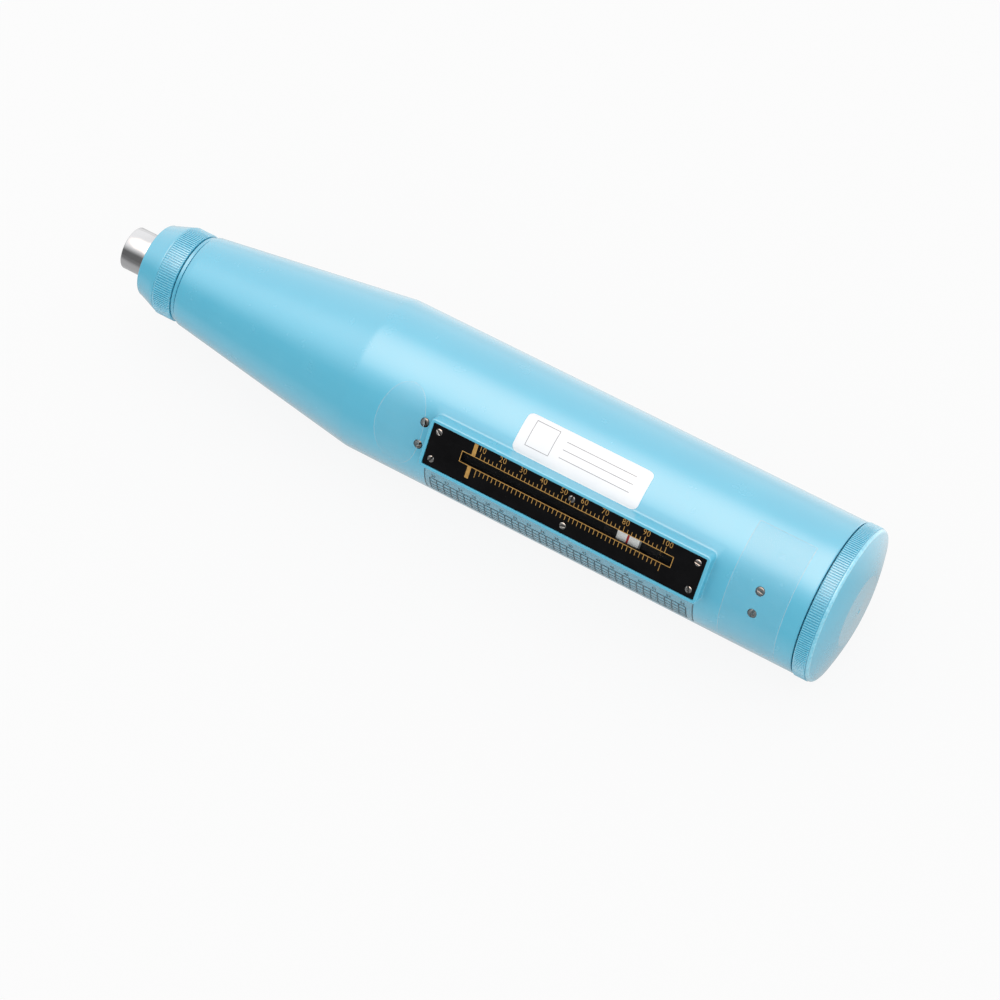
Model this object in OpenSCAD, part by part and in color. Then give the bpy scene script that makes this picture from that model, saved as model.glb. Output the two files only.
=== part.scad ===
// Concrete test hammer: a spring-driven rebound hammer lying on its side.
// Every piece is drawn on the hammer's own axis and then laid on the floor:
// z runs from the plunger tip to the rear cover, +x is the way the scale faces.

/* [Body] */
// Outer diameter of the straight barrel
body_d = 53.4; // [51:0.1:57]
// Wall of the barrel
wall = 3.5; // [3.2:0.1:4]
// Length of the tapered front of the housing
cone_len = 73; // [66:0.5:80]
// Height of the taper's front shoulder over the cap's knurl
front_step = 0.2; // [0:0.05:1]
// How far the scale is rolled from straight up, in degrees
scale_roll = 56.5; // [45:0.5:70]

/* [Nose] */
// Diameter of the plunger
plunger_d = 15; // [14:0.1:15.4]
// Length of plunger that stands out of the cap at rest
plunger_out = 11.5; // [8:0.5:14]
// Radius of the plunger's ball end
tip_r = 25; // [20:0.5:30]
// Diameter of the cap's front face
cap_face_d = 26; // [25:0.1:28]
// Wall of the cap over the neck
cap_wall = 2.2; // [1.8:0.1:3]
// Length of the cap's taper
cap_taper_len = 8.1; // [8:0.1:11]
// Height of the cap's knurl over its taper
cap_knurl_step = 0.3; // [0.2:0.05:1]
// Length of the cap's knurl
cap_knurl_len = 6.8; // [5:0.1:8]
// Open groove between the cap and the housing
nose_gap = 1.6; // [1:0.1:2.5]
// Wall of the housing's threaded neck inside the cap
neck_wall = 3.1; // [2.5:0.1:4]

/* [Tail] */
// Height of the rear cover's knurl over the barrel
ring_step = 0.3; // [0.1:0.05:2]
// Length of the rear cover's ring
ring_len = 5.9; // [4.5:0.1:7]
// Height of the rear cover's dome
dome_h = 3.5; // [3:0.1:6]
// Length of the skirt that screws into the barrel
skirt_len = 11.6; // [9:0.1:11.8]

/* [Mechanism] */
// Stroke of the hammer mass, which is the length of the whole scale
stroke = 75; // [70:0.5:80]
// Give of the plunger against its buffer spring
press = 6; // [4:0.5:8]
// Length of the impact spring between its two shoulders
impact_len = 61.5; // [58:0.1:64]
// Length of the hammer mass's heavy middle
mass_len = 38.8; // [34:0.1:44]
// Diameter of the guide rod
rod_d = 8; // [7:0.1:8.6]
// Thickness of the guide flange
flange_t = 6; // [5.5:0.1:7]
// Packed length of the main spring
main_pack = 16; // [15:0.1:20]
// Travel of the lock button
lock_travel = 3.5; // [2.5:0.1:3.6]
// Swing of the pawl, in degrees
pawl_open = 13; // [10:0.5:13]

/* [Scale] */
// Length of the scale plate behind the last mark
plate_tail = 13.8; // [12:0.1:18]
// Width of the scale plate
plate_w = 15; // [14:0.1:16]
// Thickness of the scale plate
plate_t = 1.5; // [1.2:0.1:2]
// Height of the plate's face over the barrel
plate_rise = 3.3; // [3:0.1:4]
// Width of the painted rim around the plate
rim_w = 1.25; // [1:0.05:2]
// Width of the viewing slot
slot_w = 3.5; // [3:0.1:4]
// Reading at which the pointer stands, in units of the scale
reading = 82; // [0:1:100]

/* [Hidden] */
$fn = 96;

// The names of all pieces, one file each

// Overrun of every cut past the face that it opens
over = 1;
// Gap between pieces that sit still in one another
seat_gap = 0.05;
// Gap between pieces that slide past one another
run_gap = 0.25;

// Colours
paint = [0.45, 0.76, 0.88];
steel = [0.75, 0.76, 0.78];
spring_steel = [0.42, 0.43, 0.46];
dark_steel = [0.30, 0.31, 0.33];
brass = [0.78, 0.62, 0.30];
plate_black = [0.07, 0.07, 0.08];
clear = [0.85, 0.90, 0.92];
felt = [0.55, 0.52, 0.46];
white = [0.93, 0.93, 0.92];

// Sides of a coil's wire, and rings of points in each turn
coil_sides = 6;
coil_rings = 12;

// Radii of the barrel
body_r = body_d / 2;
bore_r = body_r - wall;

// Nose: cap, felt ring, split ring and neck, from the front face back
plunger_r = plunger_d / 2;
guide_r = plunger_r + run_gap;
cap_face_t = 2.5;
felt_t = 2;
felt_step = 1.9;
split_t = 3;
split_cut = 0.6;
split_step = 1;
collar_step = 2;
collar_r = plunger_r + collar_step;
collar_gap = 0.8;
neck_bore_r = collar_r + collar_gap;
neck_r = neck_bore_r + neck_wall;
split_r = neck_r - split_step;
felt_r = split_r - felt_step;
cap_taper_r = neck_r + cap_wall;
cap_knurl_r = cap_taper_r + cap_knurl_step;
front_r = cap_knurl_r + front_step;
cap_edge = 0.5;
knurl_pitch = 0.85;
knurl_depth = 0.4;
cap_z = plunger_out;
felt_z = cap_z + cap_face_t;
split_z = felt_z + felt_t;
neck_z = split_z + split_t;
cap_knurl_z = cap_z + cap_taper_len;
cap_end_z = cap_knurl_z + cap_knurl_len;
front_z = cap_end_z + nose_gap;
nose_collar_drop = 0.55;
nose_collar_gap = 0.35;
nose_collar_r = cap_knurl_r - nose_collar_drop;
nose_collar_z = cap_end_z + nose_collar_gap;
nose_groove = 0.25;
crease_z = front_z + cone_len;

// Plunger: land outside the cap, relieved shank, collar inside, blind bore for the guide rod
shank_relief = 0.3;
land_short = 0.2;
collar_len = 4;
land_z = cap_z - land_short;
collar_z = neck_z + stroke + run_gap;
plunger_end_z = collar_z + collar_len;
tip_sag = tip_r - sqrt(tip_r * tip_r - plunger_r * plunger_r);
rod_r = rod_d / 2;
rod_bore_r = rod_r + run_gap;
buffer_len = 18;
buffer_wire = 1;
buffer_turns = 9;
buffer_r = rod_bore_r - buffer_wire / 2 - run_gap;
rod_lap = 19.3;
rod_z = plunger_end_z - rod_lap;
rod_bore_z = rod_z - buffer_len;

// Hammer mass: striking face, spring neck, heavy middle, hook neck and hook head
impact_wire = 1.8;
impact_turns = 13;
seat_neck_wall = 1.1;
spring_neck_r = neck_bore_r + seat_neck_wall;
impact_r = (spring_neck_r + run_gap + impact_wire / 2) / cos(180 / coil_rings);
spring_neck_len = 11.35;
pointer_room = 5.2;
mass_r = bore_r - pointer_room;
leaf_reach = 1;
leaf_x = mass_r - leaf_reach;
mass_edge = 1;
hook_neck_len = 12.3;
hook_head_len = 5;
strike_z = plunger_end_z + press + run_gap;
mass_z = strike_z + spring_neck_len;
mass_back_z = mass_z + mass_len;
hook_z = mass_back_z + hook_neck_len;
mass_end_z = hook_z + hook_head_len;

// Spring seat: a sleeve in the neck of the housing that anchors the impact spring
seat_lip = 3;
seat_step = 1;
seat_r = impact_r + seat_step;
seat_hold = 18;
seat_neck_len = 6;
seat_z = front_z + seat_lip;
impact_z = mass_z - impact_len;

// Inside of the housing
bore_inset = 4;
bore_z = crease_z + bore_inset;

// Guide flange, with the pawl that hooks the mass
hook_clear = 2;
flange_z = mass_end_z + hook_clear + stroke;
flange_back_z = flange_z + flange_t;
flange_r = bore_r - run_gap;
rod_pin_r = 1;
rod_pin_len = 24;
notch_clear = 1.5;
pawl_t = 5.4;
pawl_slot_gap = 0.3;
pawl_room = 1.6;
pawl_pin_r = 1.5;
pawl_pin_len = 12;
pawl_in = 1.6;
pawl_out = 2;
pawl_nose_drop = 4;
pawl_nose_len = 3.6;
pawl_slot_in = 2.7;
pawl_slot_out = 3.1;
lug_t = 3;
lug_past = 1;
hook_gap = 0.4;
hook_neck_gap = 1;
main_wire = 1.5;
main_turns = 7;
main_r = leaf_x - run_gap - main_wire / 2;
main_inner_r = main_r * cos(180 / coil_rings) - main_wire / 2;
pawl_pivot_y = main_inner_r - pawl_room - pawl_out;
pawl_nose_y = pawl_pivot_y - pawl_nose_drop;
hook_head_r = pawl_pivot_y - pawl_in - hook_gap;
hook_neck_r = pawl_nose_y - hook_neck_gap;
pawl_pivot_z = flange_z + flange_t / 2;
pawl_nose_end_z = hook_z + stroke - run_gap;
lug_reach = pawl_pivot_y + lug_past;
lug_lift = (flange_t / 2 + run_gap + lug_reach * sin(pawl_open)) / cos(pawl_open);
lug_clear = lug_lift - flange_t / 2;
pawl_nose_z = pawl_nose_end_z - pawl_nose_len;
lug_z = flange_back_z + lug_clear;
lug_end_z = lug_z + lug_t;
pawl_spring_share = 0.313;
pawl_spring_y = rod_r + pawl_spring_share * (pawl_pivot_y - rod_r);
pawl_spring_r = 1.3;
pawl_spring_wire = 0.5;
pawl_spring_turns = 5;
pawl_spring_depth = 4;

// Tail: main spring, rear cover, trip screw and its nut
cover_end_t = 7;
cover_in_z = flange_back_z + main_pack;
end_z = cover_in_z + cover_end_t;
ring_end_z = end_z - dome_h;
seam_z = ring_end_z - ring_len;
skirt_z = seam_z - skirt_len;
thread_step = 1.2;
skirt_bore_r = bore_r + thread_step;
skirt_r = skirt_bore_r - seat_gap;
skirt_t = 3;
seam_gap = 0.6;
lip_r = 1;
lip_sides = 5;
ring_r = body_r + ring_step;
lip_out = ring_r - knurl_depth / 2;
lip_z = ring_end_z - lip_r;
dome_r = lip_out - lip_r;
dome_bulge = 1.1 * dome_h;
dome_ball_r = (dome_r * dome_r + dome_bulge * dome_bulge) / (2 * dome_bulge);
face_lean = 2.5;
dimple_r = 0.8;
dimple_depth = 0.3;
trip_r = 3;
trip_hold = 5;
trip_slot_w = 1;
trip_slot_depth = 1;
trip_z = lug_end_z + run_gap;
nut_t = 4;
nut_r = 5.8;
nut_sides = 6;

// Scale: zero mark, plate, window and the channel of the pointer
slider_len = 20;
zero_inset = 10.9;
unit = stroke / 100;
zero_z = mass_back_z + run_gap - slider_len / 2;
plate_z = zero_z - zero_inset;
plate_len = zero_inset + stroke + plate_tail;
plate_top = body_r + plate_rise;
rim_rise = 0.3;
rim_top = plate_top + rim_rise;
boss_z = plate_z - rim_w;
boss_len = plate_len + 2 * rim_w;
boss_w = plate_w + 2 * rim_w;
boss_corner = 1.6;
plate_corner = 0.6;
slot_start = 1.2;
slot_past = 3.2;
slot_len = stroke + slot_past - slot_start;
slot_shift = 1;
slot_corner = 0.4;
window_t = 1;
window_w = 7.6;
window_ledge = 0.6;
window_end = 1;
plate_under = plate_top - plate_t;
window_under = plate_under - window_t;
channel_w = window_w - 2 * window_ledge;
flag_len = 8;
flag_t = 2.6;
channel_slack = 1.4;
channel_z = zero_z - flag_len / 2 - channel_slack;
channel_len = stroke + flag_len + 2 * channel_slack;
flag_w = channel_w - 2 * run_gap;
flag_top = window_under - run_gap;
flag_z = zero_z + reading * unit;

// Plate screws: three pairs
screw_r = 0.8;
screw_head_r = 1.2;
screw_head_t = 0.8;
screw_len = 3.6;
screw_slot_w = 0.35;
screw_slot_depth = 0.3;
screw_y = 4.95;
screw_inset = 2.5;
screw_shift = 1.65;
screw_zs = [plate_z + screw_inset, plate_z + plate_len / 2 + screw_shift, plate_z + plate_len - screw_inset];

// Pointer: rod, brackets with their screws, slider and leaf
pointer_rod_r = 1.25;
pointer_rod_in = 2.6;
pointer_rod_x = bore_r - pointer_rod_in;
bracket_len = 6;
bracket_w = 12;
bracket_in = 2.2;
bracket_x = pointer_rod_x - bracket_in;
front_inset = 3.15;
front_bracket_z = boss_z - front_inset;
rear_inset = 4.85;
rear_bracket_z = skirt_z - rear_inset;
bracket_screw_y = 4.05;
bracket_screw_r = 0.9;
bracket_head_r = 1.35;
bracket_head_t = 1;
bracket_screw_end = 1.6;
slider_w = 8;
slider_in = 1.9;
slider_out = 1.9;
slider_neck_len = 8;
leaf_t = 0.6;
leaf_w = 5;
notch_w = bracket_w + 2 * notch_clear;
notch_x = leaf_x - notch_clear;

// Lock button, on the side away from the scale
button_r = 5.2;
button_skirt_r = 6.2;
button_skirt_t = 0.8;
latch_r = 2.5;
latch_back = 1.2;
button_floor_t = 1.4;
button_boss_r = 10;
button_boss_rise = 0.9;
bush_thread_r = 8.2;
bush_depth = 1.5;
bush_flange_r = 9.4;
bush_flange_t = 1;
bush_lip_t = 1;
button_show = 3.7;
button_edge = 0.6;
button_spring_r = 3.3;
button_spring_wire = 0.6;
button_spring_turns = 4;
button_pocket = 3;
button_pocket_r = button_spring_r + button_spring_wire / 2 + run_gap + run_gap;
button_z = flange_z - latch_r - run_gap;
latch_end = bore_r + latch_back;
button_floor = bore_r + button_floor_t;
skirt_under = button_floor + lock_travel + run_gap;
skirt_top = skirt_under + button_skirt_t;
bush_lip = skirt_top + run_gap;
bush_top = bush_lip + bush_lip_t;
button_boss_top = body_r + button_boss_rise;
button_top = bush_top + button_show;
button_bore_r = button_skirt_r + run_gap;

// Place of the hammer's axis over the middle of the floor under it
low_reach = button_top * cos(scale_roll) + button_r * sin(scale_roll);
left_reach = max(ring_r, rim_top * sin(scale_roll) + boss_w / 2 * cos(scale_roll));
right_reach = max(ring_r, button_top * sin(scale_roll) + button_r * cos(scale_roll));
axis_y = (left_reach - right_reach) / 2;
axis_z = max(ring_r, low_reach);

// Swept tube of a coil: rings of points round a helix between two flat ends

function coil_mid(r, wire, turns, len, i) =
    let (t = i / coil_rings, climb = (len - wire) / turns)
    [r * cos(360 * t), r * sin(360 * t), wire / 2 + climb * t];

function coil_ring(r, wire, turns, len, i) =
    let (mid = coil_mid(r, wire, turns, len, i), turn = 360 * i / coil_rings)
    [for (k = [0 : coil_sides - 1])
        let (a = 360 * k / coil_sides)
        mid + wire / 2 * [cos(a) * cos(turn), cos(a) * sin(turn), sin(a)]];

// Least gap of a coil to itself, measured between the middles of its rings
function coil_gap(r, wire, turns, len) =
    let (last = turns * coil_rings)
    min([for (i = [0 : last - coil_rings])
        norm(coil_mid(r, wire, turns, len, i + coil_rings) - coil_mid(r, wire, turns, len, i))
    ]) - wire;

module coil(r, wire, turns, len, name) {
    last = turns * coil_rings;
    echo(str(name, " least gap of the coil to itself, mm: "), coil_gap(r, wire, turns, len));
    points = [for (i = [0 : last]) each coil_ring(r, wire, turns, len, i)];
    near = [[for (k = [0 : coil_sides - 1]) k]];
    far = [[for (k = [coil_sides - 1 : -1 : 0]) last * coil_sides + k]];
    sides = [for (i = [0 : last - 1]) for (k = [0 : coil_sides - 1])
        let (a = i * coil_sides, n = (k + 1) % coil_sides)
        [a + k, a + coil_sides + k, a + coil_sides + n, a + n]];
    polyhedron(points, concat(near, sides, far));
}

// Turns a piece from the hammer's own axis to where it lies on the floor
module laid() {
    translate([-end_z / 2, axis_y, axis_z])
        rotate([180 + scale_roll, 0, 0])
            rotate([0, 90, 0])
                children();
}

// Round bar or bore between two places on the axis
module bar(r, from, to) {
    translate([0, 0, from])
        cylinder(r = r, h = to - from);
}

// Taper between two places on the axis
module taper(r1, r2, from, to) {
    translate([0, 0, from])
        cylinder(r1 = r1, r2 = r2, h = to - from);
}

// Straight-knurled ring
module knurl(r, from, to) {
    teeth = floor(2 * PI * r / knurl_pitch);
    translate([0, 0, from])
        linear_extrude(to - from)
            polygon([for (i = [0 : 2 * teeth - 1])
                let (a = 180 * i / teeth, tooth_r = r - knurl_depth * (i % 2))
                tooth_r * [cos(a), sin(a)]]);
}

// Block that faces the scale's way: its long side on the axis, rounded corners
module scale_block(width, from_z, len, from_x, to_x, corner) {
    translate([from_x, 0, from_z])
        rotate([90, 0, 90])
            linear_extrude(to_x - from_x)
                rounded(width, len, corner);
}

module rounded(width, len, corner) {
    translate([-width / 2, corner])
        square([width, len - 2 * corner]);
    translate([-width / 2 + corner, 0])
        square([width - 2 * corner, len]);
    for (x = [-1, 1], y = [corner, len - corner])
        translate([x * (width / 2 - corner), y])
            circle(corner);
}

// Round bar along the scale's way
module scale_bar(r, y, z, from_x, to_x) {
    translate([from_x, y, z])
        rotate([0, 90, 0])
            cylinder(r = r, h = to_x - from_x);
}

// Round bar along the button's way, measured from the axis
module button_bar(r, from, to) {
    translate([0, 0, button_z])
        rotate([0, -90, 0])
            translate([0, 0, from])
                cylinder(r = r, h = to - from);
}

// Housing: threaded neck with its collar, taper and barrel in one, with the scale's boss
module housing() {
    color(paint) laid() difference() {
        union() {
            bar(neck_r - seat_gap, neck_z, front_z);
            bar(nose_collar_r, nose_collar_z, front_z - nose_groove);
            taper(front_r, body_r, front_z, crease_z);
            bar(body_r, crease_z, seam_z - seam_gap);
            scale_block(boss_w, boss_z, boss_len, 0, rim_top, boss_corner);
            button_bar(button_boss_r, 0, button_boss_top);
        }
        bar(neck_bore_r, neck_z - over, seat_z + over);
        bar(seat_r + seat_gap, seat_z, seat_z + seat_hold);
        taper(seat_r + seat_gap, bore_r, seat_z + seat_hold, bore_z);
        bar(bore_r, bore_z, seam_z);
        bar(skirt_bore_r, skirt_z - seat_gap, seam_z);
        scale_cuts();
        button_cuts();
    }
}

// Recesses for the plate and window, the pointer's channel and the screw holes
module scale_cuts() {
    scale_block(
        plate_w + 2 * seat_gap, plate_z - seat_gap, plate_len + 2 * seat_gap,
        plate_under, rim_top + over, plate_corner
    );
    scale_block(
        window_w + 2 * seat_gap, channel_z - window_end - seat_gap,
        channel_len + 2 * window_end + 2 * seat_gap, window_under, plate_under + over, plate_corner
    );
    scale_block(channel_w, channel_z, channel_len, 0, window_under + over, plate_corner);
    for (z = screw_zs, side = [-1, 1])
        scale_bar(screw_r + seat_gap, side * screw_y, z, plate_top - screw_len - seat_gap, rim_top);
    for (z = [front_bracket_z, rear_bracket_z], side = [-1, 1]) {
        scale_bar(bracket_screw_r + seat_gap, side * bracket_screw_y, z, 0, body_r);
        scale_bar(
            bracket_head_r + seat_gap, side * bracket_screw_y, z,
            bracket_head_x() - bracket_head_t - seat_gap, body_r
        );
    }
}

// Height of the barrel's face over the bracket screws
function bracket_head_x() = sqrt(body_r * body_r - bracket_screw_y * bracket_screw_y);

// Stepped hole for the latch, the button's skirt and the bush
module button_cuts() {
    button_bar(latch_r + run_gap, 0, body_r);
    button_bar(button_bore_r, button_floor, button_boss_top + over);
    button_bar(bush_thread_r + seat_gap, button_boss_top - bush_depth - seat_gap, button_boss_top + over);
}

// Front cap: screwed over the neck, with a taper and a knurled rear
module front_cap() {
    color(paint) laid() difference() {
        union() {
            taper(cap_face_d / 2 - cap_edge, cap_face_d / 2, cap_z, cap_z + cap_edge);
            taper(cap_face_d / 2, cap_taper_r, cap_z + cap_edge, cap_knurl_z);
            knurl(cap_knurl_r, cap_knurl_z, cap_end_z);
        }
        bar(guide_r, cap_z - over, felt_z + over);
        bar(felt_r + seat_gap, felt_z, split_z + over);
        bar(split_r + seat_gap, split_z, neck_z + over);
        bar(neck_r, neck_z - seat_gap, cap_end_z + over);
    }
}

// Felt ring: wipes the plunger behind the cap's face
module felt_ring() {
    color(felt) laid() difference() {
        bar(felt_r, felt_z + seat_gap, split_z - seat_gap);
        bar(guide_r, felt_z - over, split_z + over);
    }
}

// Split ring: two halves that stop the plunger's collar
module split_ring() {
    color(steel) laid() difference() {
        bar(split_r, split_z + seat_gap, neck_z - seat_gap);
        bar(guide_r, split_z - over, neck_z + over);
        translate([-split_cut / 2, -split_r - over, split_z - over])
            cube([split_cut, 2 * (split_r + over), split_t + 2 * over]);
    }
}

// Spring seat: sleeve that anchors the front of the impact spring
module spring_seat() {
    color(steel) laid() difference() {
        union() {
            bar(seat_r, seat_z + seat_gap, impact_z);
            bar(spring_neck_r, impact_z, impact_z + seat_neck_len);
        }
        bar(neck_bore_r, seat_z, impact_z + seat_neck_len + over);
    }
}

// Impact spring: drives the mass, unstretched while the mass is at the front
module impact_spring() {
    color(spring_steel) laid() translate([0, 0, impact_z + seat_gap])
        coil(impact_r, impact_wire, impact_turns, impact_len - 2 * seat_gap, "impact_spring");
}

// Plunger: ball end, exposed land, relieved shank and rear collar, bored for the guide rod
module plunger() {
    color(steel) laid() difference() {
        union() {
            intersection() {
                translate([0, 0, tip_r])
                    sphere(tip_r);
                bar(plunger_r, 0, tip_sag);
            }
            bar(plunger_r, tip_sag, land_z);
            bar(plunger_r - shank_relief, tip_sag, collar_z);
            bar(collar_r, collar_z, plunger_end_z);
        }
        bar(rod_bore_r, rod_bore_z, plunger_end_z + over);
    }
}

// Buffer spring: between the bottom of the plunger's bore and the guide rod
module buffer_spring() {
    color(spring_steel) laid() translate([0, 0, rod_bore_z + seat_gap])
        coil(buffer_r, buffer_wire, buffer_turns, buffer_len - 2 * seat_gap, "buffer_spring");
}

// Hammer mass: slides on the guide rod and strikes the plunger
module hammer_mass() {
    color(steel) laid() difference() {
        union() {
            bar(spring_neck_r, strike_z, mass_z);
            taper(mass_r - mass_edge, mass_r, mass_z, mass_z + mass_edge);
            bar(mass_r, mass_z + mass_edge, mass_back_z);
            bar(hook_neck_r, mass_back_z, hook_z);
            bar(hook_head_r, hook_z, mass_end_z);
        }
        bar(rod_bore_r, strike_z - over, mass_end_z + over);
    }
}

// Guide rod: carries the mass and ends in the guide flange
module guide_rod() {
    color(steel) laid() difference() {
        bar(rod_r, rod_z, flange_back_z);
        scale_bar(rod_pin_r + seat_gap, 0, pawl_pivot_z, -rod_r - over, rod_r + over);
    }
}

// Guide flange: runs in the barrel, notched for the pointer and slotted for the pawl
module guide_flange() {
    color(dark_steel) laid() difference() {
        bar(flange_r, flange_z, flange_back_z);
        bar(rod_r + seat_gap, flange_z - over, flange_back_z + over);
        translate([notch_x, -notch_w / 2, flange_z - over])
            cube([flange_r, notch_w, flange_t + 2 * over]);
        translate([-pawl_t / 2 - pawl_slot_gap, pawl_pivot_y - pawl_slot_in, flange_z - over])
            cube([pawl_t + 2 * pawl_slot_gap, pawl_slot_in + pawl_slot_out, flange_t + 2 * over]);
        scale_bar(pawl_pin_r + seat_gap, pawl_pivot_y, pawl_pivot_z,
            -pawl_pin_len / 2, pawl_pin_len / 2);
        scale_bar(rod_pin_r + seat_gap, 0, pawl_pivot_z, -flange_r, rod_pin_len / 2);
        translate([0, pawl_spring_y, 0])
            bar(pawl_spring_r + pawl_spring_wire / 2 + run_gap,
                flange_back_z - pawl_spring_depth, flange_back_z + over);
    }
}

// Rod pin: holds the guide rod in the flange
module rod_pin() {
    color(steel) laid()
        scale_bar(rod_pin_r, 0, pawl_pivot_z, -rod_pin_len / 2, rod_pin_len / 2 - seat_gap);
}

// Pawl: nose that hooks the mass, arm on the pivot, and lug in front of the trip screw
module pawl() {
    color(dark_steel) laid() difference() {
        translate([-pawl_t / 2, pawl_pivot_y, 0])
            rotate([90, 0, 90])
                linear_extrude(pawl_t)
                    pawl_side();
        scale_bar(pawl_pin_r + run_gap, pawl_pivot_y, pawl_pivot_z, -pawl_t, pawl_t);
    }
}

// Side view of the pawl, from its pivot
module pawl_side() {
    polygon([
        [pawl_out, pawl_nose_z],
        [pawl_out, lug_end_z],
        [-pawl_pivot_y - lug_past, lug_end_z],
        [-pawl_pivot_y - lug_past, lug_z],
        [-pawl_in, lug_z],
        [-pawl_in, pawl_nose_end_z],
        [-pawl_nose_drop, pawl_nose_end_z],
        [-pawl_nose_drop, pawl_nose_z + pawl_nose_len / 2],
        [-pawl_in, pawl_nose_z],
    ]);
}

// Pawl pin: the pivot, across the slot of the flange
module pawl_pin() {
    color(steel) laid()
        scale_bar(pawl_pin_r, pawl_pivot_y, pawl_pivot_z,
            -pawl_pin_len / 2 + seat_gap, pawl_pin_len / 2 - seat_gap);
}

// Pawl spring: presses the pawl's lug away from the flange
module pawl_spring() {
    len = pawl_spring_depth + lug_clear - 2 * seat_gap;
    color(spring_steel) laid()
        translate([0, pawl_spring_y, flange_back_z - pawl_spring_depth + seat_gap])
            coil(pawl_spring_r, pawl_spring_wire, pawl_spring_turns, len, "pawl_spring");
}

// Main spring: pushes the guide flange forward from the rear cover
module main_spring() {
    color(spring_steel) laid() translate([0, 0, flange_back_z + seat_gap])
        coil(main_r, main_wire, main_turns, main_pack - 2 * seat_gap, "main_spring");
}

// Rear cover: knurled ring, domed end with a flatter middle, and a skirt that screws into the barrel
module rear_cover() {
    color(paint) laid() difference() {
        union() {
            bar(skirt_r, skirt_z, seam_z);
            knurl(ring_r, seam_z, lip_z);
            rotate_extrude()
                polygon(concat(
                    [[0, lip_z]],
                    [for (i = [0 : lip_sides])
                        [dome_r, lip_z] + lip_r * [cos(90 * i / lip_sides), sin(90 * i / lip_sides)]],
                    [[0, ring_end_z]]
                ));
            intersection() {
                translate([0, 0, ring_end_z + dome_bulge - dome_ball_r])
                    sphere(dome_ball_r);
                taper(dome_h / tan(face_lean), 0, ring_end_z, end_z);
                bar(ring_r, ring_end_z, end_z + over);
            }
        }
        bar(skirt_r - skirt_t, skirt_z - over, cover_in_z);
        bar(trip_r + seat_gap, cover_in_z - over, cover_in_z + trip_hold + seat_gap);
        bar(dimple_r, end_z - dimple_depth, end_z + over);
    }
}

// Trip screw: meets the pawl's lug and sets where the mass is let go
module trip_screw() {
    color(steel) laid() difference() {
        bar(trip_r, trip_z, cover_in_z + trip_hold);
        translate([-trip_slot_w / 2, -trip_r - over, cover_in_z + trip_hold - trip_slot_depth])
            cube([trip_slot_w, 2 * (trip_r + over), trip_slot_depth + over]);
    }
}

// Lock nut: holds the trip screw against the rear cover
module lock_nut() {
    color(brass) laid() difference() {
        translate([0, 0, cover_in_z - nut_t - seat_gap])
            cylinder(r = nut_r, h = nut_t, $fn = nut_sides);
        bar(trip_r + seat_gap, cover_in_z - nut_t - over, cover_in_z + over);
    }
}

// Scale plate: black plate with the viewing slot and six countersunk holes
module scale_plate() {
    color(plate_black) laid() difference() {
        scale_block(plate_w, plate_z, plate_len, plate_under + seat_gap, plate_top, plate_corner);
        translate([0, -slot_shift, 0])
            scale_block(slot_w, zero_z + slot_start, slot_len,
                plate_under - over, plate_top + over, slot_corner);
        for (z = screw_zs, side = [-1, 1]) {
            scale_bar(screw_r + seat_gap, side * screw_y, z, plate_under - over, plate_top);
            scale_bar(screw_head_r + seat_gap, side * screw_y, z,
                plate_top - screw_head_t - seat_gap, plate_top + over);
        }
    }
}

// Scale window: clear strip under the plate
module scale_window() {
    color(clear) laid()
        scale_block(window_w, channel_z - window_end, channel_len + 2 * window_end,
            window_under + seat_gap, plate_under, plate_corner);
}

// Slotted screw along the scale's way
module slotted_screw(y, z, top, r, len, head_r, head_t) {
    difference() {
        union() {
            scale_bar(r, y, z, top - len, top - head_t);
            scale_bar(head_r, y, z, top - head_t, top);
        }
        translate([top - screw_slot_depth, y - head_r - over, z - screw_slot_w / 2])
            cube([screw_slot_depth + over, 2 * (head_r + over), screw_slot_w]);
    }
}

// Plate screws: three pairs along the plate
module plate_screws() {
    color(steel) laid()
        for (z = screw_zs, side = [-1, 1])
            slotted_screw(side * screw_y, z, plate_top, screw_r, screw_len,
                screw_head_r, screw_head_t);
}

// Bracket that carries one end of the pointer rod, fitted to the bore
module bracket(mid_z) {
    difference() {
        intersection() {
            translate([bracket_x, -bracket_w / 2, mid_z - bracket_len / 2])
                cube([bore_r, bracket_w, bracket_len]);
            bar(bore_r - seat_gap, mid_z - bracket_len, mid_z + bracket_len);
        }
        translate([pointer_rod_x, 0, 0])
            bar(pointer_rod_r + seat_gap, mid_z - bracket_len, mid_z + bracket_len);
        for (side = [-1, 1])
            scale_bar(bracket_screw_r + seat_gap, side * bracket_screw_y, mid_z,
                bracket_x + bracket_screw_end - seat_gap, body_r);
    }
}

// Front bracket of the pointer rod
module front_bracket() {
    color(dark_steel) laid()
        bracket(front_bracket_z);
}

// Rear bracket of the pointer rod
module rear_bracket() {
    color(dark_steel) laid()
        bracket(rear_bracket_z);
}

// Bracket screws: two through the barrel into each bracket
module bracket_screws() {
    top = bracket_head_x();
    color(steel) laid()
        for (z = [front_bracket_z, rear_bracket_z], side = [-1, 1])
            slotted_screw(side * bracket_screw_y, z, top, bracket_screw_r,
                top - bracket_x - bracket_screw_end, bracket_head_r, bracket_head_t);
}

// Pointer rod: the rail of the pointer, in the two brackets
module pointer_rod() {
    color(steel) laid() translate([pointer_rod_x, 0, 0])
        bar(pointer_rod_r, front_bracket_z - bracket_len / 2, rear_bracket_z + bracket_len / 2);
}

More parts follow.
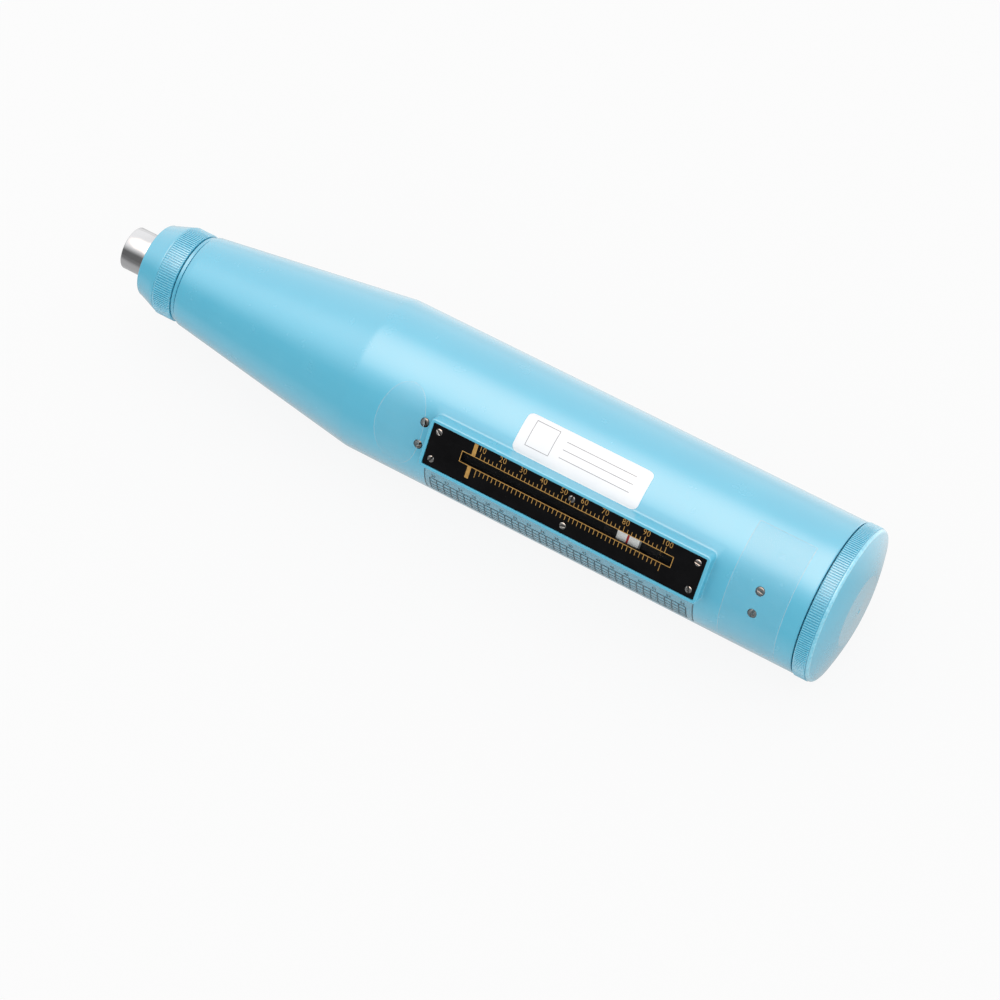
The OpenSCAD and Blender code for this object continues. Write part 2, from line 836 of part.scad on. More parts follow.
// Pointer slider: block that drags on the pointer rod, with a neck up into the channel
module pointer_slider() {
    color(dark_steel) laid() difference() {
        union() {
            translate([pointer_rod_x - slider_in, -slider_w / 2, flag_z - slider_len / 2])
                cube([slider_in + slider_out, slider_w, slider_len]);
            translate([pointer_rod_x, -flag_w / 2, flag_z - slider_neck_len / 2])
                cube([flag_top - flag_t - seat_gap - pointer_rod_x, flag_w, slider_neck_len]);
        }
        translate([pointer_rod_x, 0, 0])
            bar(pointer_rod_r + run_gap, flag_z - slider_len, flag_z + slider_len);
    }
}

// Pointer flag: white block on the slider, seen through the viewing slot
module pointer_flag() {
    color(white) laid()
        translate([flag_top - flag_t, -flag_w / 2, flag_z - flag_len / 2])
            cube([flag_t, flag_w, flag_len]);
}

// Pointer leaf: thin tab behind the slider that the mass pushes on its rebound
module pointer_leaf() {
    leaf_z = flag_z + slider_len / 2 + seat_gap;
    color(brass) laid() difference() {
        translate([leaf_x, -leaf_w / 2, leaf_z])
            cube([pointer_rod_x + slider_out - leaf_x, leaf_w, leaf_t]);
        translate([pointer_rod_x, 0, 0])
            bar(pointer_rod_r + run_gap, leaf_z - over, leaf_z + leaf_t + over);
    }
}

// Button bush: flanged ring that keeps the lock button in the housing
module button_bush() {
    color(steel) laid() difference() {
        union() {
            button_bar(bush_thread_r, button_boss_top - bush_depth, button_boss_top);
            button_bar(bush_flange_r, button_boss_top, button_boss_top + bush_flange_t);
            button_bar(bush_thread_r, button_boss_top, bush_top);
        }
        button_bar(button_bore_r, button_boss_top - bush_depth - over, bush_lip);
        button_bar(button_r + run_gap, bush_lip - over, bush_top + over);
    }
}

// Lock button: head, skirt under the bush's lip, and the latch that stops the flange
module lock_button() {
    color(steel) laid() difference() {
        union() {
            button_bar(latch_r, latch_end, skirt_top);
            button_bar(button_skirt_r, skirt_under, skirt_top);
            button_bar(button_r, skirt_top, button_top - button_edge);
            translate([0, 0, button_z])
                rotate([0, -90, 0])
                    taper(button_r, button_r - button_edge, button_top - button_edge, button_top);
        }
        difference() {
            button_bar(button_pocket_r, skirt_under - over, skirt_under + button_pocket);
            button_bar(latch_r, latch_end, button_top);
        }
    }
}

// Button spring: between the housing and the pocket of the lock button
module button_spring() {
    len = lock_travel + run_gap + button_pocket - 2 * seat_gap;
    color(spring_steel) laid() translate([0, 0, button_z])
        rotate([0, -90, 0])
            translate([0, 0, button_floor + seat_gap])
                coil(button_spring_r, button_spring_wire, button_spring_turns, len, "button_spring");
}

housing();
front_cap();
felt_ring();
split_ring();
spring_seat();
impact_spring();
plunger();
buffer_spring();
hammer_mass();
guide_rod();
guide_flange();
rod_pin();
pawl();
pawl_pin();
pawl_spring();
main_spring();
rear_cover();
trip_screw();
lock_nut();
scale_plate();
scale_window();
plate_screws();
front_bracket();
rear_bracket();
bracket_screws();
pointer_rod();
pointer_slider();
pointer_flag();
pointer_leaf();
button_bush();
lock_button();
button_spring();
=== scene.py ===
from math import asin, atan2, copysign, cos, degrees, pi, radians, sin, sqrt, tan

import bmesh
import bpy
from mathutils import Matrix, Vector


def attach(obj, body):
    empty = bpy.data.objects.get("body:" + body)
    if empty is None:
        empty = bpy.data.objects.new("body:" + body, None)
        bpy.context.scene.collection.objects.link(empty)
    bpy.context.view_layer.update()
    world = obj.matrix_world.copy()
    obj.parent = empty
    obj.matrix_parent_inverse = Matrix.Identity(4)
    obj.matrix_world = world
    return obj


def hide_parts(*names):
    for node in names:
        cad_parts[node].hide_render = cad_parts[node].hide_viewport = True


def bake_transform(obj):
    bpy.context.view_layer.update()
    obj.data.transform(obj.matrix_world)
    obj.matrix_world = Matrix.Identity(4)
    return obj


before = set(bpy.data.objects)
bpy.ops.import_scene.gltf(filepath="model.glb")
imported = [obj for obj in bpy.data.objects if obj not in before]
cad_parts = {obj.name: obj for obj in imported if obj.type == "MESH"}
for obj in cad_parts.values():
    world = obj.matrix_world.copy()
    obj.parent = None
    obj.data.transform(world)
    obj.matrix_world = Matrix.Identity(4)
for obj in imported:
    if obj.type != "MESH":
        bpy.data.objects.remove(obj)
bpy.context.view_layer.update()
print("frame loaded:", len(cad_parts), "solids")

# how the hammer lies, in mm: its middle, its axis over the floor, and the scale's roll from straight up
lay = {"middle": 137.975, "axisY": -0.604695, "axisZ": 27.0, "roll": radians(56.5)}

# barrel and boss sizes that several pieces share, in mm
barrel = {"radius": 26.7, "bore": 23.2, "front": 27.0, "frontRadius": 16.1, "crease": 100.0, "rear": 267.15}
boss = {"half": 8.75, "start": 131.75, "end": 233.95, "corner": 1.6, "top": 30.3, "fillet": 0.6, "endFillet": 0.5,
        "rearReach": 0.6, "footCorner": 2.5}
scale = {"zero": 143.9, "unit": 0.75, "plateTop": 30.0, "reading": 82}


def place(u, v, z):  # u out through the scale, v across it, z along the axis from 1 mm behind the tip
    s, c = sin(lay["roll"]), cos(lay["roll"])
    y = lay["axisY"] - s * u + c * v
    return Vector((z - lay["middle"], y, lay["axisZ"] + c * u + s * v)) / 1000


def roundSpot(r, angle, z):  # round the hammer's axis, from the scale's middle
    return (r * cos(angle), r * sin(angle), z)


def fullTurn(count):
    return [2 * pi * i / count for i in range(count)]


def arc(midR, midZ, radius, start, end, steps):  # rounded corner of a turned profile
    turns = [radians(start + (end - start) * i / steps) for i in range(steps + 1)]
    return [(midR + radius * cos(t), midZ + radius * sin(t)) for t in turns]


# shader groups

def newGroup(name, inputs, outputs):
    group = bpy.data.node_groups.new(name, "ShaderNodeTree")
    for label, value in inputs:
        socket = group.interface.new_socket(label, in_out="INPUT", socket_type="NodeSocketFloat")
        socket.default_value = value
    for label in outputs:
        group.interface.new_socket(label, in_out="OUTPUT", socket_type="NodeSocketFloat")
    return group, group.nodes.new("NodeGroupInput").outputs, group.nodes.new("NodeGroupOutput").inputs


nodeModes = ("operation", "data_type", "noise_dimensions", "attribute_name")  # settings that aren't sockets


def plug(tree, slot, value):  # a socket is linked, a plain value is set
    if isinstance(value, bpy.types.NodeSocket):
        tree.links.new(value, slot)
    else:
        slot.default_value = value


def addNode(tree, kind, *sources, **settings):  # sources fill the slots in their order, settings go by name
    made = tree.nodes.new(kind)
    for key, value in settings.items():
        if key in nodeModes:
            setattr(made, key, value)
        else:
            plug(tree, made.inputs[key], value)
    for slot, value in zip(made.inputs, sources):
        plug(tree, slot, value)
    return made


def calc(tree, operation, *values):
    return addNode(tree, "ShaderNodeMath", *values, operation=operation).outputs[0]


def spread(tree, source, low, high, outLow=0.0, outHigh=1.0):  # stretches a value over a new range
    return addNode(tree, "ShaderNodeMapRange", source, low, high, outLow, outHigh).outputs["Result"]


def mixValue(tree, factor, first, second):
    mix = addNode(tree, "ShaderNodeMix", data_type="FLOAT")
    for index, value in ((0, factor), (2, first), (3, second)):
        plug(tree, mix.inputs[index], value)
    return mix.outputs[0]


def mixColour(tree, factor, first, second):
    mix = addNode(tree, "ShaderNodeMix", data_type="RGBA")
    for index, value in ((0, factor), (6, first), (7, second)):
        plug(tree, mix.inputs[index], (*value, 1.0) if isinstance(value, tuple) else value)
    return mix.outputs[2]


def ownPlace(tree):  # coordinates that stay with the piece
    return addNode(tree, "ShaderNodeTexCoord").outputs["Object"]


def cloudy(tree, **settings):
    return addNode(tree, "ShaderNodeTexNoise", **settings).outputs["Fac"]


def mottleGroup():  # soft cloudy change over a surface
    group, given, out = newGroup("cloudy change", [("Scale", 60), ("Detail", 4)], ["Value"])
    cloud = cloudy(group, Vector=ownPlace(group), Scale=given["Scale"], Detail=given["Detail"], Roughness=0.55)
    plug(group, out["Value"], spread(group, cloud, 0.3, 0.7))
    return group


def peelGroup():  # fine waviness of sprayed paint, on a slower roll
    group, given, out = newGroup("sprayed skin", [("Scale", 700), ("Roll", 0.6)], ["Height"])
    spot = ownPlace(group)
    fine = cloudy(group, Vector=spot, Scale=given["Scale"], Detail=2.0)
    slow = cloudy(group, Vector=spot, Scale=110.0, Detail=1.0)
    plug(group, out["Height"], calc(group, "MULTIPLY_ADD", slow, given["Roll"], fine))
    return group


def toolGroup():  # fine rings that a lathe leaves along the axis
    group, given, out = newGroup("lathe rings", [("Rings", 5000), ("Wander", 0.3)], ["Height"])
    spot = ownPlace(group)
    along = addNode(group, "ShaderNodeSeparateXYZ", spot).outputs["X"]
    ring = cloudy(group, noise_dimensions="1D", W=along, Scale=given["Rings"], Detail=3.0)
    wander = calc(group, "MULTIPLY", cloudy(group, Vector=spot, Scale=250.0), given["Wander"])
    plug(group, out["Height"], calc(group, "ADD", ring, wander))
    return group


def wearGroup():  # painted highlight on edges and crests and painted shade in grooves and hollows, from the mesh's own marks
    group, given, out = newGroup("rubbed edges", [("Breakup", 900)], ["Rubbed", "Shade"])
    mark = addNode(group, "ShaderNodeAttribute", attribute_name="wear").outputs["Fac"]
    cloud = cloudy(group, Vector=ownPlace(group), Scale=given["Breakup"], Detail=4.0)
    patchy = spread(group, cloud, 0.35, 0.65, 0.35, 1.0)
    for label, full in (("Rubbed", 1.0), ("Shade", -1.0)):
        plug(group, out[label], calc(group, "MULTIPLY", spread(group, mark, 0.0, full), patchy))
    return group


# the last group paints highlight on edges and crests and shade in grooves and hollows
mottle, peel, tool, rubbed = mottleGroup(), peelGroup(), toolGroup(), wearGroup()


def useGroup(tree, group, **values):
    made = tree.nodes.new("ShaderNodeGroup")
    made.node_tree = group
    for key, value in values.items():
        made.inputs[key].default_value = value
    return made


def newMaterial(name):
    material = bpy.data.materials.new(name)
    material.use_nodes = True
    return material, material.node_tree, material.node_tree.nodes["Principled BSDF"]


def finish(name, look):
    # look: colour pair, gloss pair, metal, alpha, and what the surface carries; linear colours
    material, tree, shader = newMaterial(name)
    for socket, value in look.get("set", {}).items():
        shader.inputs[socket].default_value = value
    shader.inputs["Metallic"].default_value = look.get("metal", 0.0)
    shader.inputs["Alpha"].default_value = look.get("alpha", 1.0)
    cloud = useGroup(tree, mottle, Scale=look.get("cloud", 60.0), Detail=4.0)
    colour = mixColour(tree, cloud.outputs["Value"], *look["colours"])
    # painted shade and painted highlight colours, mixed in where the mesh's marks ask for them
    for key in ("shade", "rubbed"):
        if key in look:
            edge = useGroup(tree, rubbed)
            colour = mixColour(tree, edge.outputs[key.capitalize()], colour, look[key])
    plug(tree, shader.inputs["Base Color"], colour)
    smudge = useGroup(tree, mottle, Scale=140.0, Detail=6.0)
    plug(tree, shader.inputs["Roughness"], spread(tree, smudge.outputs["Value"], 0.0, 1.0, *look["gloss"]))
    if "bump" in look:
        kind, size, strength, depth = look["bump"]
        source = useGroup(tree, kind, **{"Rings" if kind is tool else "Scale": size})
        bump = addNode(tree, "ShaderNodeBump", Strength=strength, Distance=depth, Height=source.outputs[0])
        plug(tree, shader.inputs["Normal"], bump.outputs["Normal"])
    return material


looks = {
    # the blue paint's shade colour is painted shade in knurl valleys and grooves, its highlight colour a painted
    # highlight on crests and rims
    "bluePaint": {"colours": ((0.07, 0.405, 0.57), (0.078, 0.425, 0.59)), "gloss": (0.21, 0.28),
        "cloud": 35.0, "rubbed": (0.26, 0.62, 0.76), "shade": (0.065, 0.385, 0.545),
        "bump": (peel, 650.0, 0.035, 0.0001),
        "set": {"Specular IOR Level": 1.0, "Coat Weight": 1.0, "Coat IOR": 1.6, "Coat Roughness": 0.2}},
    # the tail's flat face: a glossier coat, and a lighter colour that partly paints the floor's reflection seen on
    # it; its shade colour is painted shade in the centre mark's dimple
    "faceGlossAndReflection": {"colours": ((0.165, 0.47, 0.615), (0.18, 0.49, 0.63)), "gloss": (0.14, 0.19),
        "cloud": 60.0, "shade": (0.03, 0.26, 0.38), "bump": (peel, 650.0, 0.012, 0.0001),
        "set": {"Specular IOR Level": 1.0, "Coat Weight": 1.0, "Coat IOR": 1.9, "Coat Roughness": 0.06}},
    "polishedSteel": {"colours": ((0.54, 0.54, 0.55), (0.61, 0.61, 0.62)), "gloss": (0.1, 0.2),
        "bump": (tool, 5200.0, 0.1, 0.00003), "metal": 1.0},
    "darkSteel": {"colours": ((0.055, 0.057, 0.062), (0.085, 0.087, 0.092)), "gloss": (0.3, 0.46),
        "bump": (mottle, 900.0, 0.08, 0.00004), "metal": 0.9},
    "springWire": {"colours": ((0.2, 0.2, 0.22), (0.28, 0.28, 0.3)), "gloss": (0.24, 0.38),
        "bump": (mottle, 1500.0, 0.1, 0.00003), "metal": 1.0},
    "plateBlack": {"colours": ((0.0026, 0.0026, 0.003), (0.0042, 0.0042, 0.0048)), "gloss": (0.3, 0.42),
        "cloud": 180.0, "bump": (peel, 2600.0, 0.05, 0.00004), "set": {"Specular IOR Level": 0.1}},
    "goldPrint": {"colours": ((0.42, 0.225, 0.055), (0.58, 0.34, 0.095)), "gloss": (0.36, 0.52),
        "cloud": 900.0, "bump": (mottle, 2400.0, 0.1, 0.00002), "metal": 0.35},
    # the screws' shade colours are painted shade at the bottom of the driver's slot
    "screwSteel": {"colours": ((0.38, 0.37, 0.36), (0.56, 0.55, 0.53)), "gloss": (0.16, 0.3),
        "cloud": 1200.0, "shade": (0.03, 0.03, 0.03), "bump": (mottle, 2500.0, 0.1, 0.00003),
        "metal": 1.0},
    "screwDull": {"colours": ((0.26, 0.24, 0.22), (0.42, 0.4, 0.37)), "gloss": (0.24, 0.4),
        "cloud": 1200.0, "shade": (0.015, 0.015, 0.015), "bump": (mottle, 2500.0, 0.1, 0.00003),
        "metal": 1.0},
    "brassPart": {"colours": ((0.52, 0.35, 0.11), (0.62, 0.44, 0.16)), "gloss": (0.24, 0.4),
        "bump": (tool, 4200.0, 0.1, 0.00003), "metal": 1.0},
    "whiteFlag": {"colours": ((0.9, 0.93, 0.92), (0.95, 0.97, 0.96)), "gloss": (0.34, 0.48),
        "cloud": 500.0, "bump": (mottle, 1800.0, 0.06, 0.00003)},
    "redLine": {"colours": ((0.42, 0.015, 0.02), (0.55, 0.03, 0.03)), "gloss": (0.35, 0.5), "cloud": 900.0},
    "wipeFelt": {"colours": ((0.22, 0.2, 0.16), (0.34, 0.31, 0.26)), "gloss": (0.9, 1.0), "cloud": 1800.0,
        "bump": (mottle, 2600.0, 0.7, 0.0003), "set": {"Sheen Weight": 0.4}},
    # flat black on the bore, the pointer's channel, the window ledge, the screw seats and the latch's way through the
    # wall is painted shade inside them
    "recessShadeBlack": {"colours": ((0.004, 0.004, 0.004), (0.009, 0.009, 0.01)), "gloss": (0.6, 0.8),
        "cloud": 400.0, "bump": (mottle, 1500.0, 0.1, 0.00004)},
    "labelVinyl": {"colours": ((0.74, 0.75, 0.77), (0.78, 0.78, 0.79)), "gloss": (0.38, 0.5),
        "cloud": 90.0, "bump": (mottle, 900.0, 0.06, 0.00003)},
    "labelInk": {"colours": ((0.1, 0.1, 0.11), (0.18, 0.18, 0.19)), "gloss": (0.45, 0.6), "cloud": 1500.0},
    "chartInk": {"colours": ((0.035, 0.085, 0.11), (0.06, 0.12, 0.15)), "gloss": (0.35, 0.5), "cloud": 1200.0},
    "clearFilm": {"colours": ((0.45, 0.62, 0.7), (0.55, 0.7, 0.76)), "gloss": (0.06, 0.16), "cloud": 200.0,
        "bump": (mottle, 220.0, 0.08, 0.00008), "alpha": 0.07},
    "chartFilm": {"colours": ((0.34, 0.43, 0.46), (0.4, 0.5, 0.53)), "gloss": (0.1, 0.22), "cloud": 200.0,
        "bump": (mottle, 220.0, 0.08, 0.00008), "alpha": 0.3},
    "filmEdge": {"colours": ((0.6, 0.75, 0.82), (0.78, 0.86, 0.9)), "gloss": (0.15, 0.3), "cloud": 600.0,
        "alpha": 0.35},
    "clearStrip": {"colours": ((0.05, 0.055, 0.06), (0.07, 0.075, 0.08)), "gloss": (0.03, 0.08), "alpha": 0.06},
}
mats = {name: finish(name, look) for name, look in looks.items()}
print("finishes made:", len(mats))


# mesh helpers

def addObject(name, data):
    made = bpy.data.objects.new(name, data)
    bpy.context.scene.collection.objects.link(made)
    return made


def faceOut(mesh, weld=0.0):  # turns all faces outward, after points that meet become one
    work = bmesh.new()
    work.from_mesh(mesh)
    if weld:
        bmesh.ops.remove_doubles(work, verts=work.verts, dist=weld)
    bmesh.ops.recalc_face_normals(work, faces=work.faces)
    work.to_mesh(mesh)
    work.free()


def seat(piece, body, slot, *nodes):  # hangs a piece on its body and lets it stand for its solids
    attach(piece, body)
    if nodes:
        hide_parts(*nodes)


def stacked(name, loops, material, sharp=32.0):
    form = Loops()
    form.stack(loops)
    return form.piece(name, [material], sharp)


class Loops:  # points and faces of a form that is built loop by loop
    def __init__(self):
        # each point carries a painted light mark: above zero a painted highlight, below zero painted shade
        self.points, self.faces, self.wear, self.mat = [], [], [], []

    def loop(self, points, wear=0.0):
        first = len(self.points)
        self.points += points
        self.wear += wear if isinstance(wear, list) else [wear] * len(points)
        return list(range(first, len(self.points)))

    def join(self, loopA, loopB, mat=0):  # quads between two closed loops
        self.add(list(zip(loopA, loopA[1:] + loopA[:1], loopB[1:] + loopB[:1], loopB)), mat)

    def fan(self, loop, tip, mat=0):
        self.add([(a, b, tip) for a, b in zip(loop, loop[1:] + loop[:1])], mat)

    def add(self, faces, mat=0):
        self.faces += faces
        self.mat += [mat] * len(faces)

    def grow(self, last, points, mat=0, wear=0.0):  # the next loop, joined to the last one
        loop = self.loop(points, wear)
        self.join(last, loop, mat)
        return loop

    def stack(self, loops):  # a closed form from loops, flat at both ends
        made = [self.loop(points) for points in loops]
        for low, high in zip(made, made[1:]):
            self.join(low, high)
        self.add([tuple(made[0]), tuple(made[-1])])

    def take(self, points, faces):  # a mesh that was made elsewhere
        first = self.loop(points)[0]
        self.add([tuple(first + i for i in face) for face in faces])

    def piece(self, name, materials, sharp=32.0):
        mesh = bpy.data.meshes.new(name)
        mesh.from_pydata([place(*p) for p in self.points], [], self.faces)
        for material in materials:
            mesh.materials.append(mats[material])
        mesh.polygons.foreach_set("material_index", self.mat)
        mark = mesh.attributes.new("wear", "FLOAT", "POINT")
        mark.data.foreach_set("value", self.wear)
        faceOut(mesh)
        mesh.shade_smooth()
        mesh.set_sharp_from_angle(angle=radians(sharp))
        return addObject(name, mesh)


def turned(name, profile, columns, materials, spot=roundSpot, teeth=0, depth=0.0, closed=True, sharp=32.0, other=0):
    # profile rows: (radius, place, painted light mark, ridged); a knurl has four columns a tooth, and ridged rows
    # paint highlight on the crests and shade at the feet
    # the first rows, up to other, take the second finish
    form = Loops()
    share = (0.0, 0.42, 0.55, 0.87)  # where a tooth's four columns stand
    count = 4 * teeth if teeth else columns
    turns = [2 * pi * ((k // 4 + share[k % 4]) / teeth if teeth else k / columns) for k in range(count)]
    low = [1.0 if teeth and k % 4 > 1 else 0.0 for k in range(count)]  # columns at the foot of a tooth
    rows = []
    for row in profile:
        r, z, wear, ridged = (*row, 0.0, 0.0)[:4]
        if r < 1e-6:
            rows.append(form.loop([spot(0.0, 0.0, z)], wear))
            continue
        # on ridged rows a tooth's crest gets a painted highlight and its foot painted shade
        marks = [(-1.0 if k else 0.55) * ridged if ridged else wear for k in low]
        rows.append(form.loop([spot(r - depth * ridged * k, t, z) for k, t in zip(low, turns)], marks))
    pairs = list(zip(rows, rows[1:])) + ([(rows[-1], rows[0])] if closed else [])
    for number, pair in enumerate(pairs):
        short, full = sorted(pair, key=len)
        mat = 1 if number < other else 0
        if len(short) == 1:
            form.fan(full, short[0], mat)
        else:
            form.join(*pair, mat)
    return form.piece(name, materials, sharp)


# grid lines of the housing's skin: across the scale, along the boss and behind the lock button
half = [2.15, 2.6, 3.3, 4.05, 4.8, 5.5, 5.95, 7.15]
across = [-v for v in reversed(half)] + [0.0] + half
bossEdge = [8.6, 10.0, 11.5]
bossSpan, bossCells, sideCells = (133.35, 232.35), 20, 42
bossRows = [130.45, 131.3, 132.3]
bossRows += [bossSpan[0] + (bossSpan[1] - bossSpan[0]) * i / bossCells for i in range(bossCells + 1)]
bossRows += [233.4, 234.4, 235.45]
screwRows = [-1.75, -1.25, -0.6, 0.0, 0.6, 1.25, 1.75]
lockHalf = [2.3, 4.6, 6.7, 8.7, 10.6, 12.4]
lockColumns = [v for v in reversed(lockHalf)] + [0.0] + [-v for v in lockHalf]
lockRows = (233.4, 257.2)


def ringPoints(halfWidth, start, end, corner):  # rounded rectangle (v, z), in the order of the skin's grid
    midV, lowZ, highZ = halfWidth - corner, start + corner, end - corner
    innerV = [v / half[-1] * midV for v in across]
    innerZ = [lowZ + (end - start - 2 * corner) * i / bossCells for i in range(bossCells + 1)]
    sides = [
        (225, -midV, lowZ, [(v, start) for v in innerV]), (315, midV, lowZ, [(halfWidth, z) for z in innerZ]),
        (45, midV, highZ, [(v, end) for v in reversed(innerV)]),
        (135, -midV, highZ, [(-halfWidth, z) for z in reversed(innerZ)]),
    ]

    def bend(v, z, turns):
        return [(v + corner * cos(radians(t)), z + corner * sin(radians(t))) for t in turns]

    points = []
    for (turn, v, z, straight), (turnOut, vOut, zOut, _) in zip(sides, sides[1:] + sides[:1]):
        points += bend(v, z, (turn, turn + 15, turn + 30)) + straight + bend(vOut, zOut, (turnOut - 30, turnOut - 15))
    return points


def barrelHeight(v, radius=barrel["radius"]):
    return sqrt(max(radius * radius - v * v, 0.0))


def skin(angle, z, lift=0.0):  # a place on the barrel, riding up the boss's fillet beside it
    r = barrel["radius"] + lift
    u, v = r * cos(angle), r * sin(angle)
    reach = abs(v) - boss["half"]
    if u > 0 and 0 <= reach < boss["fillet"] and boss["start"] < z < boss["end"]:
        t = 1 - sqrt(reach / boss["fillet"])
        low, foot = barrelHeight(boss["half"] + boss["fillet"], r), barrelHeight(boss["half"], r)
        u = (1 - t) ** 2 * low + 2 * t * (1 - t) * foot + t * t * (foot + boss["fillet"])
    return (u, v, z)


# housing: neck, taper, barrel, boss with its recesses, and the lock's boss

housingSizes = {
    "neck": 13.35, "collar": 15.35, "groove": 14.4, "blend": 1.0, "edge": 0.5, "rim": 0.45,
    "taperRows": (28.1, 29.9, 30.0, 38.0, 48.0, 60.0, 74.0, 88.0, 97.5),
    "midRows": (102.5, 110.0, 118.0), "rearRows": (238.0, 240.4, 242.8, 245.2, 247.4),
    "endRows": (255.0, 257.2, 261.0, 266.6),
    "bore": ((0, 10.3), (29.93, 10.3), (29.97, 14.05), (48.0, 14.05), (104.0, 23.2), (255.8, 23.2),
             (255.95, 24.4), (300, 24.4)),
    "openHalf": 3.9, "open": (137.7, 225.1), "lip": [(1.08, 0.0), (1.16, 0.04), (1.20, 0.14)],
    "recessHalf": 7.55, "recess": (132.95, 232.75), "seatHeight": 28.5,
    "windowHalf": 3.85, "window": (137.45, 225.35), "windowHeight": 27.5,
    "channelHalf": 3.2, "channel": (138.5, 224.3), "corner": 0.6,
    "screwHole": 1.62, "screwDepth": 1.1, "screwSide": 4.05, "screwPlaces": (128.6, 251.1),
    "lockPlace": 245.2, "lockRadius": 10.0, "lockFillet": (0.9, 0.55), "latch": 2.75,
    "lockSteps": ((10.0, 27.3), (9.91, 27.51), (9.7, 27.6), (8.35, 27.6), (8.25, 27.5), (8.25, 26.05),
                  (6.45, 26.05), (6.45, 24.6), (2.75, 24.6)),
}


def coneRadius(z):
    slope = (barrel["radius"] - barrel["frontRadius"]) / (barrel["crease"] - barrel["front"])
    return barrel["frontRadius"] + slope * (z - barrel["front"])


def housingRows(s):
    neck, collar, groove, radius = s["neck"], s["collar"], s["groove"], barrel["radius"]
    rows = [(18.0, neck), (25.70, neck), (25.75, collar - 0.3), (25.9, collar), (27.0, collar), (27.12, collar - 0.2),
            (27.16, groove), (27.34, groove), (27.38, 15.3), (27.46, 15.74), (27.66, 16.08)]
    rows += [(z, coneRadius(z)) for z in s["taperRows"]]
    start, end = barrel["crease"] - s["blend"], barrel["crease"] + s["blend"]
    for i in range(7):  # the taper meets the barrel in a tight bend
        t = i / 6
        z = (1 - t) ** 2 * start + 2 * t * (1 - t) * barrel["crease"] + t * t * end
        rows.append((z, (1 - t) ** 2 * coneRadius(start) + (1 - (1 - t) ** 2) * radius))
    firstScrew, lastScrew = [[mid + d for d in screwRows] for mid in s["screwPlaces"]]
    rows += [(z, radius) for z in (*s["midRows"], *firstScrew, *bossRows, *s["rearRows"], *lastScrew, *s["endRows"])]
    return rows + [(266.92, radius - 0.06), (267.08, radius - 0.2), (barrel["rear"], radius - s["rim"])]


def between(value, table):  # straight-line table from one set of places to another
    for (a, b), (c, d) in zip(table, table[1:]):
        if value <= c:
            return b + (d - b) * (value - a) / (c - a)
    return table[-1][1]


